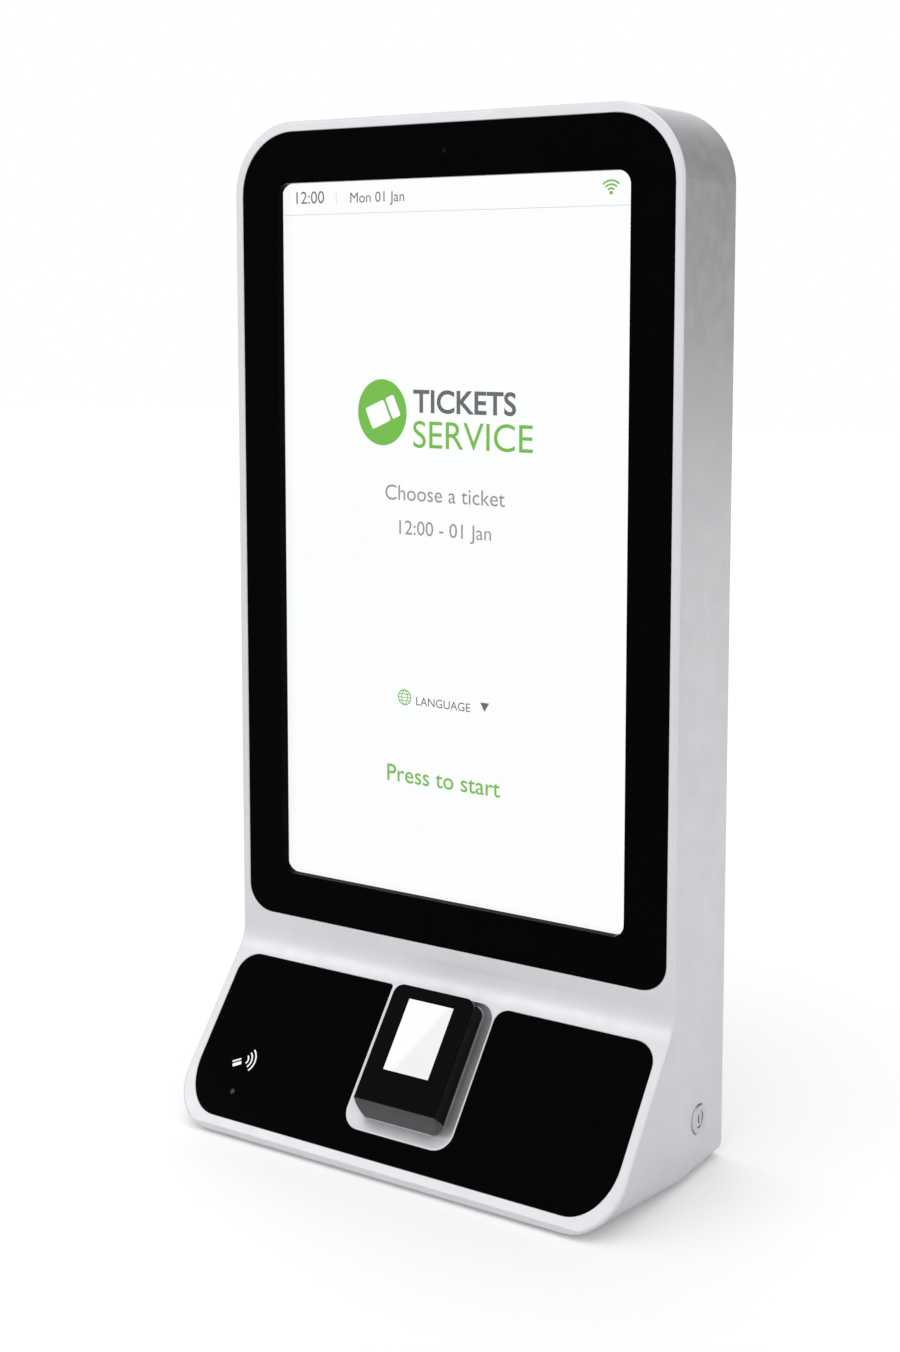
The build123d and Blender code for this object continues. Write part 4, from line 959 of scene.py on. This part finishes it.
def makeLouvres():
    # pressed louvres over the power supply's back face
    tree, group = startTree("supplyLouvres", {"Long": louvreLook["long"], "Radius": louvreLook["radius"]})
    radius = group.outputs["Radius"]
    tip = math2(tree, "MULTIPLY", radius, louvreLook["taper"])
    bar = roundNode(tree, tip, radius, group.outputs["Long"], louvreLook["sides"])
    endTree(tree, group, [(bar, "bareAluminium")], (0, math.pi / 2, 0))
    low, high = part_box("power_supply")
    middle = (low + high) / 2
    columns, rows = louvreLook["columns"], louvreLook["rows"]
    places = []
    for column in range(columns):
        for row in range(rows):
            x = middle.x + (column - (columns - 1) / 2) * louvreLook["columnStep"] - louvreLook["long"] / 2
            z = middle.z + (row - (rows - 1) / 2) * louvreLook["rowStep"]
            places.append((x, high.y - louvreLook["sunk"], z))
    finishPiece(growPiece("supplyLouvres", tree, {}, places), "housing", "bare_aluminium")


def makeInside():
    screwTree = makeScrewTree()
    for node in ("strap_screws", "chassis_screws", "board_screws", "supply_screws", "fan_screws"):
        makeScrews(screwTree, node)
    makeConnectors()
    chipTree = makeChipTree()
    chips = freePlaces(chipLook)
    finishPiece(growPiece("boardChips", chipTree, {}, chips), "housing", "black_plastic")
    low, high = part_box("memory_module")
    middle, step = (low + high) / 2, (high.z - low.z) / memoryLook["chips"]
    rows = [(middle.x, high.y, low.z + step * (i + 0.5)) for i in range(memoryLook["chips"])]
    memoryChips = growPiece("memoryChips", chipTree, chipSizes(memoryLook), rows)
    finishPiece(memoryChips, "housing", "black_plastic")
    cans = freePlaces(canLook, chips)
    finishPiece(growPiece("capacitors", makeCanTree(), {}, cans), "housing", "black_plastic")
    makeLouvres()


makeInside()
print("inside made")

# finishes of the frame's own pieces

slotFinish = {
    "silver_paint": "silverPaint",
    "black_gloss": "blackPanel",
    "screen_glass": "blackPanel",
    "display_module": "displayBack",
    "reader_screen": "readerScreen",
    "led_lens": "ledLens",
    "black_rubber": "rubber",
    "plated_steel": "platedSteel",
    "lock_chrome": "lockChrome",
    "brass": "turnedBrass",
    "bare_aluminium": "bareAluminium",
    "circuit_board": "circuitGreen",
    "black_plastic": "mouldedBlack",
    "cable_jacket": "cableJacket",
}
nodeFinish = {"reader_housing": "readerBlack", "camera_module": "darkLens"}

for part in frame["record"]["subparts"]:
    cadObject = frame["nodes"][part["node"]]
    chosen = nodeFinish.get(part["node"], slotFinish[part["material_slot"]])
    for materialSlot in cadObject.material_slots:
        materialSlot.material = finishes[chosen]
print("frame pieces finished")

# floor, light and camera

studio = {
    "floorReach": 7.0,
    "floorTone": 0.93,
    "floorGlow": 1.07,         # how brightly the floor's white shows
    "glowNear": 0.08,          # share of that close to the object, the rest is lit and shaded
    "paleFrom": 0.30,          # metres from the object's middle where the floor turns all white
    "paleTo": 1.1,
    "ambient": 1.12,           # light from the level of the object
    "overhead": 1.12,          # light from above, as a share of that
    "overheadBetween": (0.15, 0.75),
    "dimSide": 0.18,           # light behind the right side
    "dimTowards": (0.50, 0.86, 0.10),
    "dimFrom": 0.45,
    "dimTo": 0.95,
    "lightTint": (0.99, 0.995, 1.0),
}

softboxes = {
    "keySoftbox": dict(place=(-1.30, -1.75, 1.30), aim=(0, 0, 0.1), size=(1.5, 0.5), power=3),
    "topSoftbox": dict(place=(0.3, -0.1, 2.4), aim=(0, 0, 0.33), size=(1.8, 1.8), power=4),
}

cameraLook = {
    "lens": 51.56,
    "sensorWidth": 36,
    "shiftUp": -0.1212,
    "place": (0.6794, -1.0438, 0.5559),
    "tilt": 83.846,            # degrees from straight down
    "turn": 32.748,
}


def makeFloor():
    reach = studio["floorReach"]
    mesh = bpy.data.meshes.new("floor")
    mesh.from_pydata([(-reach, -reach, 0), (reach, -reach, 0), (reach, reach, 0), (-reach, reach, 0)],
                     [], [(0, 1, 2, 3)])
    floor = bpy.data.objects.new("floor", mesh)
    bpy.context.scene.collection.objects.link(floor)
    paint = bpy.data.materials.new("floorPaint")
    paint.use_nodes = True
    tree = paint.node_tree
    shader = tree.nodes["Principled BSDF"]
    tone = studio["floorTone"]
    shader.inputs["Base Color"].default_value = (tone, tone, tone, 1)
    shader.inputs["Roughness"].default_value = 0.9
    shader.inputs["Specular IOR Level"].default_value = 0.1
    pale = addNode(tree, "ShaderNodeEmission")
    pale.inputs["Strength"].default_value = studio["floorGlow"]
    coords = addNode(tree, "ShaderNodeTexCoord")
    distance = addNode(tree, "ShaderNodeVectorMath", operation="LENGTH")
    tree.links.new(coords.outputs["Object"], distance.inputs[0])
    mapper = addNode(tree, "ShaderNodeMapRange", interpolation_type="SMOOTHSTEP")
    tree.links.new(distance.outputs["Value"], mapper.inputs["Value"])
    mapper.inputs["From Min"].default_value = studio["paleFrom"]
    mapper.inputs["From Max"].default_value = studio["paleTo"]
    mapper.inputs["To Min"].default_value = studio["glowNear"]
    mix = addNode(tree, "ShaderNodeMixShader")
    tree.links.new(mapper.outputs["Result"], mix.inputs["Fac"])
    tree.links.new(shader.outputs["BSDF"], mix.inputs[1])
    tree.links.new(pale.outputs["Emission"], mix.inputs[2])
    tree.links.new(mix.outputs["Shader"], tree.nodes["Material Output"].inputs["Surface"])
    mesh.materials.append(paint)


def makeWorld():
    # white where it is seen; as light it is dimmer behind the right side
    world = bpy.data.worlds.new("studio")
    bpy.context.scene.world = world
    world.use_nodes = True
    tree = world.node_tree
    light = tree.nodes["Background"]
    light.inputs["Color"].default_value = (*studio["lightTint"], 1)
    coords = addNode(tree, "ShaderNodeTexCoord")
    dot = addNode(tree, "ShaderNodeVectorMath", operation="DOT_PRODUCT")
    dot.inputs[1].default_value = Vector(studio["dimTowards"]).normalized()
    tree.links.new(coords.outputs["Generated"], dot.inputs[0])
    mapper = addNode(tree, "ShaderNodeMapRange", interpolation_type="SMOOTHSTEP")
    tree.links.new(dot.outputs["Value"], mapper.inputs["Value"])
    mapper.inputs["From Min"].default_value = studio["dimFrom"]
    mapper.inputs["From Max"].default_value = studio["dimTo"]
    mapper.inputs["To Min"].default_value = studio["ambient"]
    mapper.inputs["To Max"].default_value = studio["dimSide"]
    split = addNode(tree, "ShaderNodeSeparateXYZ")
    tree.links.new(coords.outputs["Generated"], split.inputs["Vector"])
    rise = remap(tree, split.outputs["Z"], 1.0, studio["overhead"], *studio["overheadBetween"])
    product = addNode(tree, "ShaderNodeMath", operation="MULTIPLY")
    tree.links.new(mapper.outputs["Result"], product.inputs[0])
    tree.links.new(rise, product.inputs[1])
    tree.links.new(product.outputs["Value"], light.inputs["Strength"])
    seen = addNode(tree, "ShaderNodeBackground")
    seen.inputs["Color"].default_value = (1, 1, 1, 1)
    path = addNode(tree, "ShaderNodeLightPath")
    mix = addNode(tree, "ShaderNodeMixShader")
    tree.links.new(path.outputs["Is Camera Ray"], mix.inputs["Fac"])
    tree.links.new(light.outputs["Background"], mix.inputs[1])
    tree.links.new(seen.outputs["Background"], mix.inputs[2])
    tree.links.new(mix.outputs["Shader"], tree.nodes["World Output"].inputs["Surface"])


def addSoftbox(name, place, aim, size, power):
    data = bpy.data.lights.new(name, "AREA")
    data.shape = "RECTANGLE"
    data.size, data.size_y = size
    data.energy = power
    lamp = bpy.data.objects.new(name, data)
    bpy.context.scene.collection.objects.link(lamp)
    lamp.location = place
    lamp.rotation_euler = (Vector(aim) - Vector(place)).to_track_quat("-Z", "Y").to_euler()


def makeCamera():
    data = bpy.data.cameras.new("camera")
    data.lens = cameraLook["lens"]
    data.sensor_width = cameraLook["sensorWidth"]
    data.shift_y = cameraLook["shiftUp"]
    camera = bpy.data.objects.new("camera", data)
    bpy.context.scene.collection.objects.link(camera)
    camera.location = cameraLook["place"]
    camera.rotation_euler = (math.radians(cameraLook["tilt"]), 0, math.radians(cameraLook["turn"]))
    bpy.context.scene.camera = camera


makeFloor()
makeWorld()
for softboxName, softbox in softboxes.items():
    addSoftbox(softboxName, **softbox)
makeCamera()
bpy.context.scene.view_settings.view_transform = "Standard"
print("studio made")
